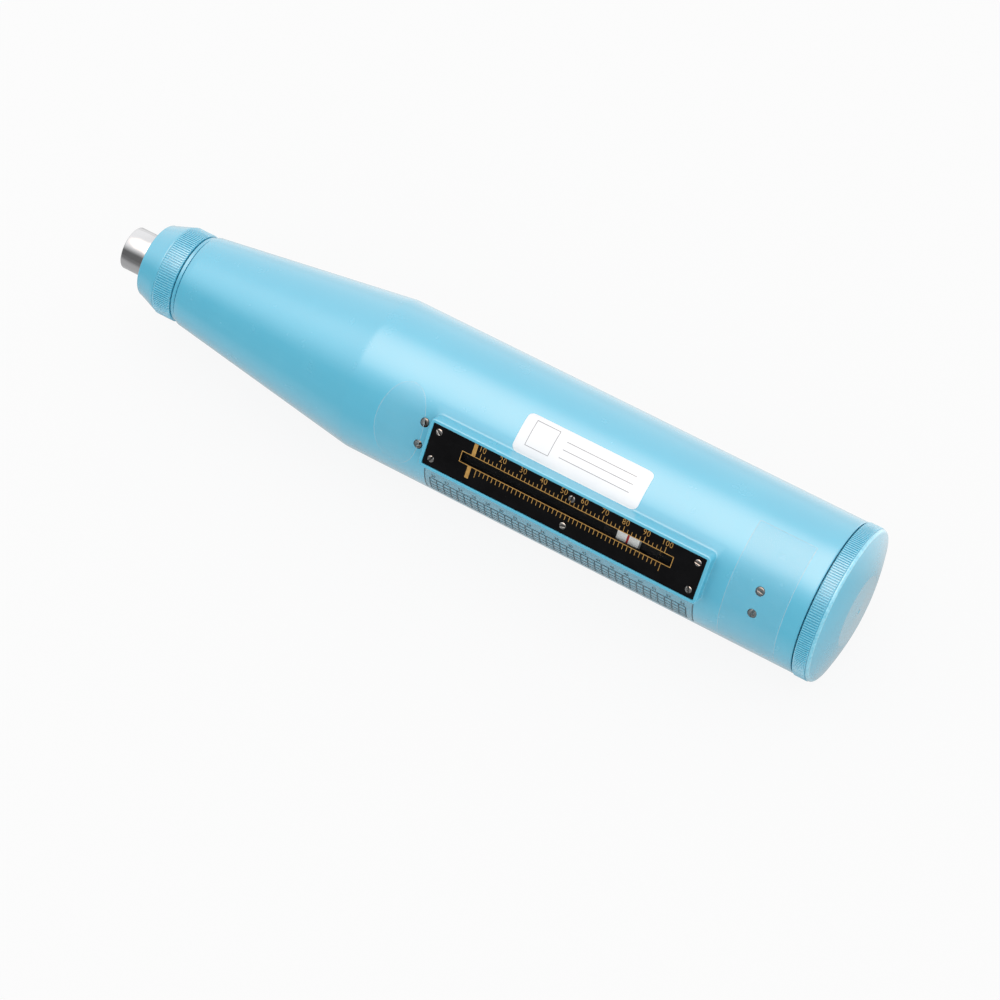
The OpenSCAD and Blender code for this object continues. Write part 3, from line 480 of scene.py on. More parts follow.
def buildHousing(s):
    form = Loops()
    radius = barrel["radius"]
    rows = housingRows(s)
    edgeTurn, lockTurn = asin(bossEdge[-1] / radius), asin(lockHalf[-1] / radius)
    sideTurns = [(pi - lockTurn - edgeTurn) * i / sideCells for i in range(1, sideCells)]
    front = [-v for v in reversed(bossEdge)] + across + bossEdge
    turns = [asin(v / radius) for v in front] + [edgeTurn + t for t in sideTurns]
    turns += [pi - asin(v / radius) for v in lockColumns] + [pi + lockTurn + t for t in sideTurns]
    columns = len(turns)

    def rowAt(place):
        return min(range(len(rows)), key=lambda i: abs(rows[i][0] - place))

    # the bore's grid is drawn in so that its opening meets the pointer's channel
    backTable = [(0, 0), (edgeTurn, asin(s["openHalf"] / barrel["bore"])), (pi, pi)]
    keptRows = (s["midRows"][-1], s["rearRows"][0])
    zTable = [(0, 0), (keptRows[0], keptRows[0]), (bossRows[0], s["open"][0]), (bossRows[-1], s["open"][1]),
              (keptRows[1], keptRows[1]), (400, 400)]

    def boreTurn(turn):
        if turn > pi:
            return 2 * pi - between(2 * pi - turn, backTable)
        return copysign(between(abs(turn), backTable), turn)

    outer, inner = [], []
    for z, r in rows:
        outer.append(form.loop([roundSpot(r, t, z) for t in turns]))
        zIn = between(z, zTable)
        inner.append(form.loop([roundSpot(between(zIn, s["bore"]), boreTurn(t), zIn) for t in turns]))

    # openings in the grid: (first row, last row, first column, last column)
    left, right = front.index(-half[-2]), front.index(half[0])
    span = front.index(half[-2]) - right
    bossHole = (rowAt(bossRows[0]), rowAt(bossRows[-1]), 0, len(front) - 1)
    lockStart = len(front) + len(sideTurns)
    lockHole = (*[rowAt(z) for z in lockRows], lockStart, lockStart + len(lockColumns) - 1)
    screwHoles = []
    for mid in s["screwPlaces"]:
        ends = [rowAt(mid + d) for d in (screwRows[0], screwRows[-1])]
        screwHoles += [(*ends, column, column + span) for column in (left, right)]

    def within(i, j, holes):
        return any(top <= i < bottom and a <= j < b for top, bottom, a, b in holes)

    def rim(grid, hole):
        top, bottom, a, b = hole
        loop = [grid[top][j] for j in range(a, b)] + [grid[i][b] for i in range(top, bottom)]
        return loop + [grid[bottom][j] for j in range(b, a, -1)] + [grid[i][a] for i in range(bottom, top, -1)]

    # the bore's faces take the flat black that paints the shade inside the housing
    sides = ((outer, [bossHole, lockHole] + screwHoles), (inner, [bossHole, lockHole]))
    for i in range(len(rows) - 1):
        for j in range(columns):
            n = (j + 1) % columns
            for mat, (grid, holes) in enumerate(sides):
                if not within(i, j, holes):
                    form.add([(grid[i][j], grid[i][n], grid[i + 1][n], grid[i + 1][j])], mat)
    form.join(outer[0], inner[0])
    form.join(outer[-1], inner[-1])

    # boss: fillet, wall, rounded rim, plate recess, window ledge and the pointer's channel
    wall = ringPoints(boss["half"], boss["start"], boss["end"], boss["corner"])
    foot = ringPoints(boss["half"] + boss["fillet"], boss["start"] - boss["endFillet"],
                      boss["end"] + boss["rearReach"], boss["footCorner"])
    last = rim(outer, bossHole)
    for t in (0.0, 0.2, 0.4, 0.6, 0.8, 1.0):
        bend = []
        for (v0, z0), (v1, z1) in zip(foot, wall):
            low, corner = barrelHeight(v0), barrelHeight(v1)
            rise = corner + boss["endFillet"] + (boss["fillet"] - boss["endFillet"]) * abs(v1) / boss["half"]
            a, b, c = (1 - t) ** 2, 2 * t * (1 - t), t * t
            bend.append((a * low + b * corner + c * rise, a * v0 + (b + c) * v1, a * z0 + (b + c) * z1))
        last = form.grow(last, bend)
    steps = [(s["edge"] - r, s["edge"] - h) for r, h in arc(0.0, 0.0, s["edge"], 0, 90, 4)]
    for number, (shrink, down) in enumerate(steps + s["lip"]):
        ring = ringPoints(boss["half"] - shrink, boss["start"] + shrink, boss["end"] - shrink,
                          max(boss["corner"] - shrink, 0.3))
        # a painted highlight along the middle of the rim's rounding
        rimHighlight = 0.3 if number == 2 else 0.0
        last = form.grow(last, [(boss["top"] - down, v, z) for v, z in ring], 0, rimHighlight)
    # the window ledge and the channel take the flat black that paints the shade down in them
    for name, height, mat in (("recess", "seatHeight", 0), ("window", "seatHeight", 1), ("window", "windowHeight", 1),
                              ("channel", "windowHeight", 1)):
        ring = ringPoints(s[name + "Half"], *s[name], s["corner"])
        last = form.grow(last, [(s[height], v, z) for v, z in ring], mat)
    last = form.grow(last, [(barrelHeight(v, barrel["bore"]), v, z) for v, z in ring], 1)
    form.join(last, rim(inner, bossHole), 1)

    def aimed(loop, side, mid):  # each point's turn round the middle of its hole
        return [atan2(form.points[p][2] - mid, form.points[p][1] - side) for p in loop]

    # blind seats of the four bracket screws; their inner walls and floors take the flat black that paints the shade
    # in the holes
    for number, hole in enumerate(screwHoles):
        last = rim(outer, hole)
        mid, side = s["screwPlaces"][number // 2], s["screwSide"] * (-1 if number % 2 == 0 else 1)
        turns, floor = aimed(last, side, mid), barrelHeight(side) - s["screwDepth"]
        for inset, down, mat in ((0.0, 0.0, 0), (0.05, 0.08, 1), (0.08, None, 1)):
            r = s["screwHole"] - inset
            ring = [(side + r * cos(a), mid + r * sin(a)) for a in turns]
            last = form.grow(last, [(floor if down is None else barrelHeight(v) - down, v, z) for v, z in ring], mat)
        form.fan(last, form.loop([(floor, side, mid)])[0], 1)

    # round boss of the lock, its stepped hole and the latch's way through the wall
    last = rim(outer, lockHole)
    turns = aimed(last, 0.0, s["lockPlace"])
    flare, rise = s["lockFillet"]
    steps = [(s["lockRadius"] + flare * (1 - t) ** 2, lambda v, t=t: barrelHeight(v) + rise * t * t)
             for t in (0.0, 0.35, 0.7, 1.0)]
    steps += [(r, lambda v, height=height: height) for r, height in s["lockSteps"]]
    steps.append((s["latch"], lambda v: barrelHeight(v, barrel["bore"])))
    for r, height in steps:
        ring = [(r * cos(a), s["lockPlace"] + r * sin(a)) for a in turns]
        last = form.grow(last, [(-height(v), v, z) for v, z in ring])
    form.join(last, rim(inner, lockHole), 1)
    return form.piece("housing_shell", ["bluePaint", "recessShadeBlack"])


seat(buildHousing(housingSizes), "housing", "blue_paint", "housing")
print("housing made")


# nose: cap and plunger

def knurlRows(s):  # rows as (drop under the teeth, place, painted light mark, ridged)
    return [(s["knurl"] - drop, *row) for drop, *row in s["band"]]


capSizes = {
    "teeth": 117, "knurl": 15.9, "depth": 0.34, "taper": 15.55, "face": 13.0, "front": 10.5, "edge": 0.6,
    "taperEnds": (11.2, 18.2), "taperRows": (11.6, 13.2, 15.0, 16.6, 18.0),
    "hole": [(7.75, 10.75), (7.85, 10.55), (8.0, 10.5), (12.3, 10.5)],
    # groove rows: radius, place, and painted shade in the groove
    "groove": [(15.5, 18.22, -0.3), (15.4, 18.4, -0.6), (15.44, 18.56, -0.4)],
    "band": [(0.34, 18.6, 0.5, 0.2), (0.06, 18.88, 0.5, 0.8), (0, 19.1, 0, 1.0), (0, 22.0, 0, 1.0),
             (0, 24.85, 0, 1.0), (0.06, 25.1, 0, 0.8), (0.36, 25.37, 0, 0.2), (0.6, 25.4)],
    "bore": [(13.4, 25.4), (13.4, 18.0), (12.45, 18.0), (12.45, 15.0), (10.55, 15.0), (10.55, 13.0), (7.75, 13.0)],
}


def buildCap(s):
    start, end = s["taperEnds"]
    slope = (s["taper"] - s["face"]) / (end - start)
    profile = s["hole"] + arc(s["face"] - s["edge"], s["front"] + s["edge"], s["edge"], -82, 0, 4)
    profile += [(s["face"] + slope * (z - start), z) for z in s["taperRows"]]
    profile += s["groove"] + knurlRows(s) + s["bore"]
    return turned("front_cap_turned", profile, 0, ["bluePaint"], teeth=s["teeth"], depth=s["depth"], sharp=38.0)


plungerSizes = {
    "radius": 7.5, "shank": 7.2, "ball": 25.0, "edge": 0.35, "tip": -1.0, "ballRows": (0.0, 1.5, 3.0, 4.5, 6.0, 6.8),
    "edgeRows": ((0.18, 0.1), (0.05, 0.24), (0.0, 0.42)), "frontRows": (4.0, 7.0, 10.2),
    "collar": [(9.3, 93.25), (9.5, 93.45), (9.5, 97.05), (9.3, 97.25)],
    "bore": [(4.6, 97.25), (4.25, 96.9), (4.25, 59.95), (0.0, 59.95)],
}


def buildPlunger(s):
    radius, shank, ball = s["radius"], s["shank"], s["ball"]
    ends = (*s["ballRows"], radius - s["edge"])
    profile = [(r, s["tip"] + ball - sqrt(ball ** 2 - r * r)) for r in ends]
    rim = profile[-1][1]
    profile += [(radius - drop, rim + behind) for drop, behind in s["edgeRows"]]
    profile += [(radius, z) for z in s["frontRows"]] + [(radius - 0.05, 10.28)]
    profile += [(shank, z) for z in (10.3, 40.0, s["collar"][0][1])] + s["collar"] + s["bore"]
    return turned("plunger_ground", profile, 96, ["polishedSteel"], closed=False)


seat(buildCap(capSizes), "housing", "blue_paint", "front_cap")
seat(buildPlunger(plungerSizes), "plunger", "polished_steel", "plunger")
print("nose made")


# tail: knurled cover with its dome

coverSizes = {
    "teeth": 199, "knurl": 27.0, "depth": 0.34, "dome": 25.8, "bulge": 3.85, "rim": 273.45, "end": 276.95,
    "lean": radians(2.5), "face": 12.6,
    # centre mark rows: radius, depth, and painted shade in its dimple
    "mark": ((0.0, 0.3, 0.0), (0.55, 0.28, -0.6), (0.75, 0.14, -0.6), (0.95, 0.05, 0.0)),
    "faceRows": (1.6, 4.0, 8.0, 11.0), "domeRows": (14.0, 16.5, 19.0, 21.5, 23.6),
    "shoulder": [(25.35, 273.6), (25.72, 273.47)], "edge": 1.0,
    # groove rows: radius, place, and painted shade in the groove
    "groove": [(26.62, 272.4, -0.6), (26.6, 272.3, -0.6)],
    "band": [(0.28, 272.24, 0, 0.3), (0.04, 272.06, 0, 0.8), (0, 271.85, 0, 1.0), (0, 270.0, 0, 1.0),
             (0, 268.05, 0, 1.0), (0.05, 267.82, 0, 0.8), (0.4, 267.58, 0, 0.2), (0.7, 267.55)],
    "bore": [(24.35, 267.55), (24.35, 256.2), (24.1, 255.95), (21.35, 255.95), (21.35, 269.95), (3.05, 269.95),
             (3.05, 275.0), (0.0, 275.0)],
}


def buildCover(s):
    ball = (s["dome"] ** 2 + s["bulge"] ** 2) / (2 * s["bulge"])
    mid = s["rim"] + s["bulge"] - ball
    profile = [(r, s["end"] - down, wear) for r, down, wear in s["mark"]]
    profile += [(r, s["end"] - r * tan(s["lean"])) for r in (*s["faceRows"], s["face"] - 0.2)]
    profile += [(r, mid + sqrt(ball * ball - r * r)) for r in (s["face"] + 0.12, *s["domeRows"])]
    profile += s["shoulder"]
    # the rounded rim carries a painted highlight
    profile += [(r, z, 0.9) for r, z in arc(s["dome"], s["rim"] - s["edge"], s["edge"], 84, 0, 6)]
    profile += s["groove"] + knurlRows(s) + s["bore"]
    # the flat middle of the face takes the second finish, whose lighter colour partly paints a reflection
    return turned("rear_cover_turned", profile, 0, ["bluePaint", "faceGlossAndReflection"], teeth=s["teeth"], depth=s["depth"],
                  closed=False, sharp=38.0, other=8)


seat(buildCover(coverSizes), "housing", "blue_paint", "rear_cover")
print("tail made")


# scale: plate, its print, window, screws

plateSizes = {
    "half": 7.5, "start": 133.0, "end": 232.7, "corner": 0.6, "thick": 1.45, "bevel": 0.12,
    "slotLow": -0.75, "slotHigh": 2.75, "slotStart": 145.1, "slotEnd": 222.1,
    "screwPlaces": (135.5, 184.5, 230.2), "screwSide": 4.95, "screwHole": 1.28,
}


def outline(low, high, start, end, corner, steps=5):  # rounded rectangle as (z, v)
    points = []
    for midZ, midV, turn in ((end - corner, high - corner, 0), (start + corner, high - corner, 90),
                             (start + corner, low + corner, 180), (end - corner, low + corner, 270)):
        for i in range(steps + 1):
            t = radians(turn + 90 * i / steps)
            points.append((midZ + corner * cos(t), midV + corner * sin(t)))
    return points


def flatMesh(curve):  # a curve's or text's own mesh, in mm
    holder = addObject("flat", curve)
    bpy.context.view_layer.update()
    mesh = bpy.data.meshes.new_from_object(holder.evaluated_get(bpy.context.evaluated_depsgraph_get()))
    points = [tuple(v.co) for v in mesh.vertices]
    faces = [tuple(p.vertices) for p in mesh.polygons]
    bpy.data.objects.remove(holder)
    bpy.data.curves.remove(curve)
    bpy.data.meshes.remove(mesh)
    return points, faces


def buildPlate(s):
    curve = bpy.data.curves.new("plate", "CURVE")
    curve.dimensions, curve.fill_mode = "2D", "BOTH"
    curve.extrude = s["thick"] / 2 - s["bevel"]
    curve.bevel_depth, curve.bevel_resolution, curve.offset = s["bevel"], 2, -s["bevel"]
    shapes = [outline(-s["half"], s["half"], s["start"], s["end"], s["corner"]),
              outline(s["slotLow"], s["slotHigh"], s["slotStart"], s["slotEnd"], 0.3)]
    hole = [(s["screwHole"] * cos(t), s["screwHole"] * sin(t)) for t in fullTurn(28)]
    for z in s["screwPlaces"]:
        for side in (-s["screwSide"], s["screwSide"]):
            shapes.append([(z + along, side + over) for along, over in hole])
    for shape in shapes:
        spline = curve.splines.new("POLY")
        spline.points.add(len(shape) - 1)
        spline.use_cyclic_u = True
        for point, (z, v) in zip(spline.points, shape):
            point.co = (z, v, 0.0, 1.0)
    points, faces = flatMesh(curve)
    middle = scale["plateTop"] - s["thick"] / 2
    form = Loops()
    form.take([(middle + h, v, z) for z, v, h in points], faces)
    made = form.piece("scale_plate_blank", ["plateBlack"])
    faceOut(made.data, 2e-6)
    return made


seat(buildPlate(plateSizes), "housing", "scale_black", "scale_plate")

printSizes = {
    "line": 0.21, "frame": 0.26, "gap": 0.02, "rise": 0.03, "sink": 0.02,
    "up": (4.3, 4.95), "down": (-2.75, -3.8),
    "bar": 1.35, "barPlace": 148.9, "barTop": 7.35, "barDeep": 4.2,
    "digitSide": 6.25, "digitRise": 0.005, "digitWidth": 0.86, "digits": {
    "size": 2.05 / 0.7, "extrude": 0.025, "space_character": 1.08, "resolution_u": 6, "offset": -0.035},
}


def addNumber(form, number, spot, settings):  # a flat number, each of its points set down by spot
    curve = bpy.data.curves.new("digits", "FONT")
    curve.body, curve.align_x, curve.align_y = str(number), "CENTER", "CENTER"
    for key, value in settings.items():
        setattr(curve, key, value)
    points, faces = flatMesh(curve)
    form.take([spot(*p) for p in points], faces)


def buildPrint(p, plate):
    form = Loops()
    top, w, gap = scale["plateTop"], p["frame"], p["gap"]
    low, high, start, end = [plate["slot" + side] for side in ("Low", "High", "Start", "End")]

    def bar(a, b, first, last):  # a thin printed bar on the plate
        ring = [(a, first), (b, first), (b, last), (a, last)]
        form.stack([[(h, v, z) for v, z in ring] for h in (top - p["sink"], top + p["rise"])])

    def tick(a, b, mid, wide):
        bar(a, b, mid - wide / 2, mid + wide / 2)

    bar(low - w, low - gap, start - w, end + w)
    bar(high + gap, high + w, start - w, end + w)
    bar(low - gap, high + gap, start - w, start - gap)
    bar(low - gap, high + gap, end + gap, end + w)
    for mark in range(10, 101, 2):
        z = scale["zero"] + mark * scale["unit"]
        tick(high + w, p["up"][mark % 10 == 0], z, p["line"])
        tick(p["down"][mark in (10, 100)], low - w, z, p["line"])
    tick(high + w, p["barTop"], p["barPlace"], p["bar"])
    tick(low - w - p["barDeep"], low - w, p["barPlace"], p["bar"])
    for mark in range(10, 101, 10):
        mid = scale["zero"] + mark * scale["unit"]

        def spot(x, y, h):
            return (top + p["digitRise"] + h, p["digitSide"] + y, mid + x * p["digitWidth"])

        addNumber(form, mark, spot, p["digits"])
    return form.piece("scale_print", ["goldPrint"])


seat(buildPrint(printSizes, plateSizes), "housing", "scale_black")


def block(name, material, s, steps=5):  # rounded block; its rows are (shrink, height)
    loops = []
    for shrink, height in s["rows"]:
        wide, ends = s["half"] - shrink, (s["start"] + shrink, s["end"] - shrink)
        loops.append([(height, v, z) for z, v in outline(-wide, wide, *ends, s["corner"], steps)])
    return stacked(name, loops, material)


windowSizes = {"half": 3.8, "start": 137.5, "end": 225.3, "corner": 0.6,
               "rows": ((0.1, 27.55), (0, 27.65), (0, 28.4), (0.1, 28.5))}
seat(block("scale_window_strip", "clearStrip", windowSizes), "housing", "clear_strip", "scale_window")


def screwForm(form, mid, side, top, slotTurn, k):
    # full disc below, two D-shaped halves above with the driver's slot between them
    radius, sides = k["radius"], 32
    slotHalf, slotDeep, edge = 0.2 * radius, 0.36 * radius, 0.36 * radius
    c, s = cos(slotTurn), sin(slotTurn)

    def spotAt(x, y, height):
        return (height, side + c * x - s * y, mid + s * x + c * y)

    levels = ((k["shank"], k["length"]), (k["shank"], k["deep"]), (radius, k["deep"] - 0.02), (radius, slotDeep))
    form.stack([[spotAt(r * cos(t), r * sin(t), top - down) for t in fullTurn(sides)] for r, down in levels])
    # painted shade on the disc under the driver's slot
    form.wear[-sides:] = [-1.0] * sides
    for flip in (1, -1):
        loops = []
        for inset, down in ((0.0, slotDeep + 0.01), (0.0, 0.6 * edge), (0.12 * edge, 0.45 * edge),
                            (0.5 * edge, 0.18 * edge), (edge, 0.0)):
            r = radius - inset
            start = asin((slotHalf + inset * 0.6) / r)
            turns = [start + (pi - 2 * start) * i / 18 for i in range(19)]
            loops.append([spotAt(r * cos(t), flip * r * sin(t), top - down) for t in turns])
        form.stack(loops)


plateScrew = {"radius": 1.2, "deep": 0.92, "shank": 0.8, "length": 3.6, "proud": 0.12,
              "turns": (0.5, 2.3, 1.2, 0.2, 2.8, 1.7)}
bracketScrew = {"radius": 1.35, "deep": 1.0, "shank": 0.9, "length": 7.1, "turns": (0.9, 2.5, 0.3, 1.8)}


def buildScrews(name, material, k, holder, topAt):
    form = Loops()
    spots = [(z, side * holder["screwSide"]) for z in holder["screwPlaces"] for side in (-1, 1)]
    for (z, v), turn in zip(spots, k["turns"]):
        screwForm(form, z, v, topAt(v), turn, k)
    return form.piece(name, [material])


plateSet = buildScrews("plate_screw_set", "screwSteel", plateScrew, plateSizes,
                       lambda v: scale["plateTop"] + plateScrew["proud"])
seat(plateSet, "housing", "screw_steel", "plate_screws")
bracketSet = buildScrews("bracket_screw_set", "screwDull", bracketScrew, housingSizes, barrelHeight)
seat(bracketSet, "housing", "screw_steel", "bracket_screws")
print("scale made")


# pointer: white flag with its red line

flagPlace = scale["zero"] + scale["reading"] * scale["unit"]
flagSizes = {"half": 2.95, "start": flagPlace - 4.0, "end": flagPlace + 4.0, "corner": 0.35,
             "rows": ((0.0, 24.65), (0.0, 27.0), (0.08, 27.17), (0.25, 27.25))}
hairlineSizes = {"half": 2.67, "start": flagPlace - 0.39, "end": flagPlace + 0.39, "corner": 0.08,
                 "rows": ((0.0, 27.2), (0.0, 27.27))}
seat(block("pointer_flag_block", "whiteFlag", flagSizes), "pointer", "white_flag", "pointer_flag")
seat(block("pointer_hairline", "redLine", hairlineSizes, 2), "pointer", "white_flag")
print("pointer made")


# lock: bush and button, on the side away from the scale

def lockSpot(r, angle, height):
    return (-height, r * cos(angle), housingSizes["lockPlace"] + r * sin(angle))


bushProfile = [
    (6.45, 26.2), (6.55, 26.1), (8.0, 26.1), (8.2, 26.3), (8.2, 27.6), (9.2, 27.6), (9.4, 27.78), (9.4, 28.42),
    (9.22, 28.6), (8.35, 28.6), (8.2, 28.72), (8.2, 30.1), (7.9, 30.4), (5.65, 30.4), (5.45, 30.25), (5.45, 29.4),
    (6.45, 29.4),
]
buttonProfile = [
    (0.0, 24.4), (2.2, 24.4), (2.5, 24.7), (2.5, 31.35), (4.1, 31.35), (4.1, 28.35), (6.1, 28.35), (6.2, 28.45),
    (6.2, 29.05), (6.1, 29.15), (5.2, 29.15), (5.2, 33.45), (5.12, 33.74), (4.92, 33.96), (4.6, 34.08), (3.9, 34.1),
    (3.75, 34.02), (3.6, 33.9), (3.4, 33.86), (2.0, 33.8), (0.0, 33.78),
]
bush = turned("button_bush_turned", bushProfile, 72, ["polishedSteel"], lockSpot)
seat(bush, "housing", "polished_steel", "button_bush")
button = turned("lock_button_turned", buttonProfile, 64, ["polishedSteel"], lockSpot, closed=False)
seat(button, "lock", "polished_steel", "lock_button")
print("lock made")


# springs: round wire wound like the solids they stand for

def wound(name, radius, wire, turns, start, length, spot, rings=36, sides=10):
    loops = []
    total = turns * rings
    climb = (length - wire) / turns
    for i in range(total + 1):
        t = 2 * pi * i / rings
        mid = start + wire / 2 + climb * i / rings
        thick = wire / 2 if 0 < i < total else 0.4 * wire
        loops.append([spot(radius + thick * cos(a), t, mid + thick * sin(a)) for a in fullTurn(sides)])
    return stacked(name, loops, "springWire", 60.0)


def axisSpot(r, angle, z):
    return (r * cos(angle), -r * sin(angle), z)


def pawlSpot(r, angle, z, side=-6.2238):
    return (r * cos(angle), side - r * sin(angle), z)


# mean radius, wire, turns, start, length, where it winds, and the bodies and ends that it stretches between
springs = {
    "main_spring": (16.0, 1.5, 7, 254.0, 15.9, axisSpot, ("housing", "guide"), ((0, 0, 269.9), (0, 0, 254.0))),
    "buffer_spring": (3.5, 1.0, 9, 60.0, 17.9, axisSpot, ("guide", "plunger"), ((0, 0, 77.9), (0, 0, 60.0))),
    "pawl_spring": (1.3, 0.5, 5, 250.0, 7.03, pawlSpot, ("guide", "pawl"), ((0, -6.22, 250.0), (0, -6.22, 257.03))),
    "button_spring": (3.3, 0.6, 4, 24.65, 6.65, lockSpot, ("housing", "lock"),
                      ((-24.65, 0, 245.2), (-31.3, 0, 245.2))),
    "impact_spring": (12.9927, 1.8, 13, 53.4, 61.4, axisSpot, None, None),
}
for node, (radius, wire, turns, start, length, spot, bodies, ends) in springs.items():
    coil = wound(node + "_wire", radius, wire, turns, start, length, spot)
    if bodies:
        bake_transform(coil)
    else:
        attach(coil, "housing")
    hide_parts(node)
print("springs made")


# labels and films on the barrel: how close their columns stand, and how far they reach under the skin
skinCell, skinSink = 0.9, 0.03


def sheet(name, p, materials):
    # thin sheet that lies on the skin: its low and high are turns in degrees
    form = Loops()
    r, corner, edge, oval, lift = barrel["radius"], p["corner"], p.get("edge", 0.2), p.get("oval", False), p["lift"]
    shortest = 0.05 if oval else 2.2 * edge
    mid, reach = radians((p["low"] + p["high"]) / 2), radians((p["high"] - p["low"]) / 2) * r
    midZ, reachZ = (p["start"] + p["end"]) / 2, (p["end"] - p["start"]) / 2
    count = max(8, int(2 * reach / skinCell))
    places = [-reach + edge + (2 * reach - 2 * edge) * i / count for i in range(count)]
    places += [-reach, reach - edge, reach]
    if corner > 2 * edge:  # closer columns where the corners turn
        places += [side * (reach - edge - (corner - edge) * i / 6) for i in range(1, 6) for side in (-1, 1)]
    places.sort()

    def halfLength(s):
        if oval:
            return reachZ * sqrt(max(1 - (s / reach) ** 2, 0.0)) + shortest
        over = max(abs(s) - (reach - corner), 0.0)
        return reachZ - corner + sqrt(max(corner * corner - over * over, 0.0))

    sheets = []
    for height in (lift, -skinSink):
        columns = []
        for number, s in enumerate(places):
            h = max(halfLength(s), shortest)
            rim = 0.5 * lift if height > 0 else 0.0
            flat = rim if number in (0, len(places) - 1) else 0.0
            near = h - min(edge, h / 3)
            steps = [(-h, rim), (-near, flat), (0.0, flat), (near, flat), (h, rim)]
            columns.append(form.loop([skin(mid + s / r, midZ + z, height - d) for z, d in steps]))
        sheets.append(columns)
    for columns in sheets:
        for number, (a, b) in enumerate(zip(columns, columns[1:])):
            for k in range(4):
                rimFace = k in (0, 3) or number in (0, len(columns) - 2)
                form.add([(a[k], a[k + 1], b[k + 1], b[k])], 1 if rimFace and len(materials) > 1 else 0)
    top, under = sheets
    for k in (0, -1):
        for i in range(len(places) - 1):
            form.add([(top[i][k], top[i + 1][k], under[i + 1][k], under[i][k])])
            if i < 4:
                form.add([(top[k][i], top[k][i + 1], under[k][i + 1], under[k][i])])
    return form.piece(name, materials, 40.0)


def stroke(form, low, high, start, end, lift, sink=skinSink):
    # printed line on the skin: turns in degrees, places in mm
    count = max(1, int(radians(abs(high - low)) * barrel["radius"] / skinCell))
    loops = []
    for i in range(count + 1):
        t = radians(low + (high - low) * i / count)
        loops.append([skin(t, start, -sink), skin(t, end, -sink), skin(t, end, lift), skin(t, start, lift)])
    form.stack(loops)


labelSizes = {
    "low": 19.35, "high": 48.8, "start": 158.4, "end": 204.2, "corner": 2.0, "lift": 0.12,
    "box": (26.0, 45.0, 162.0, 170.45), "rules": (28.5, 34.5, 40.5), "ruleEnds": (174.0, 199.5),
    "thinTurn": 0.35, "thin": 0.15, "inkRise": 0.015, "inkSink": 0.02,
}


def buildLabel(s):
    seat(sheet("blank_label", s, ["labelVinyl"]), "housing", "white_flag")
    form = Loops()
    low, high, start, end = s["box"]  # an empty box to stick a mark in, and three plain writing lines
    marks = [(turn, turn + s["thinTurn"], start, end + s["thin"]) for turn in (low, high)]
    marks += [(low, high + s["thinTurn"], z, z + s["thin"]) for z in (start, end)]
    marks += [(turn, turn + s["thinTurn"], *s["ruleEnds"]) for turn in s["rules"]]
    for mark in marks:
        stroke(form, *mark, s["lift"] + s["inkRise"], s["inkSink"] - s["lift"])
    seat(form.piece("label_rules", ["labelInk"]), "housing", "white_flag")


chartSizes = {
    "low": -53.0, "high": -26.0, "start": 132.2, "end": 232.0, "corner": 0.8, "lift": 0.04,
    "rows": 4, "columns": 37, "cellLow": -50.8, "cellHigh": -34.0, "cellStart": 134.4, "cellEnd": 229.4,
    "line": 0.42, "ink": 0.075, "endInset": 0.5, "endLines": (132.3, 231.6), "endLine": 0.3,
    "firstNumber": 20, "numberTurn": 3.0, "numbers": {"size": 1.75, "extrude": 0.02},
}


def buildChart(s):
    seat(sheet("chart_film", s, ["chartFilm"]), "housing", "blue_paint")
    form = Loops()
    radius = barrel["radius"]
    thin = degrees(s["line"] / radius)
    pitch = (s["cellEnd"] - s["cellStart"]) / s["columns"]
    for i in range(s["rows"] + 1):
        turn = s["cellLow"] + (s["cellHigh"] - s["cellLow"]) * i / s["rows"]
        stroke(form, turn - thin / 2, turn + thin / 2, s["cellStart"], s["cellEnd"], s["ink"])
    for i in range(s["columns"] + 1):
        z = s["cellStart"] + pitch * i
        stroke(form, s["cellLow"], s["cellHigh"], z - s["line"] / 2, z + s["line"] / 2, s["ink"])
    for z in s["endLines"]:  # dark lines at the film's two ends
        stroke(form, s["low"] + s["endInset"], s["high"] - s["endInset"], z, z + s["endLine"], s["ink"])
    numberTurn = radians(s["cellHigh"] + s["numberTurn"])
    for i in range(0, s["columns"], 2):  # plain numbers over every second column
        mid = s["cellStart"] + pitch * (i + 0.5)

        def spot(x, y, h):
            return skin(numberTurn + y / radius, mid + x, s["ink"] - s["numbers"]["extrude"] + h)

        addNumber(form, s["firstNumber"] + i, spot, s["numbers"])
    seat(form.piece("chart_print", ["chartInk"]), "housing", "blue_paint")


filmSizes = {
    "tail_film": {"low": -46.0, "high": 53.0, "start": 240.7, "end": 261.0,
                  "corner": 0.5, "edge": 0.15, "lift": 0.05},
    "oval_film": {"low": -36.0, "high": 31.0, "start": 111.9, "end": 128.9,
                  "corner": 7.2, "edge": 0.16, "lift": 0.05, "oval": True},
}


def buildFilms():
    for name, s in filmSizes.items():
        seat(sheet(name, s, ["clearFilm", "filmEdge"]), "housing", "blue_paint")


buildLabel(labelSizes)
buildChart(chartSizes)
buildFilms()
print("labels made")


# solids that stay inside keep their own shape and get a finish
insideLooks = {
    "polishedSteel": ("split_ring", "hammer_mass", "guide_rod", "rod_pin", "pawl_pin", "trip_screw"),
    "darkSteel": ("spring_seat", "guide_flange", "pawl", "front_bracket", "rear_bracket", "pointer_rod",
                  "pointer_slider"),
    "brassPart": ("lock_nut", "pointer_leaf"), "wipeFelt": ("felt_ring",),
}
for look, nodes in insideLooks.items():
    for node in nodes:
        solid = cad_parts[node]
        if not solid.material_slots:
            solid.data.materials.append(mats[look])
        for materialSlot in solid.material_slots:
            materialSlot.material = mats[look]
print("inside finished:", sum(map(len, insideLooks.values())))


# floor, light and camera

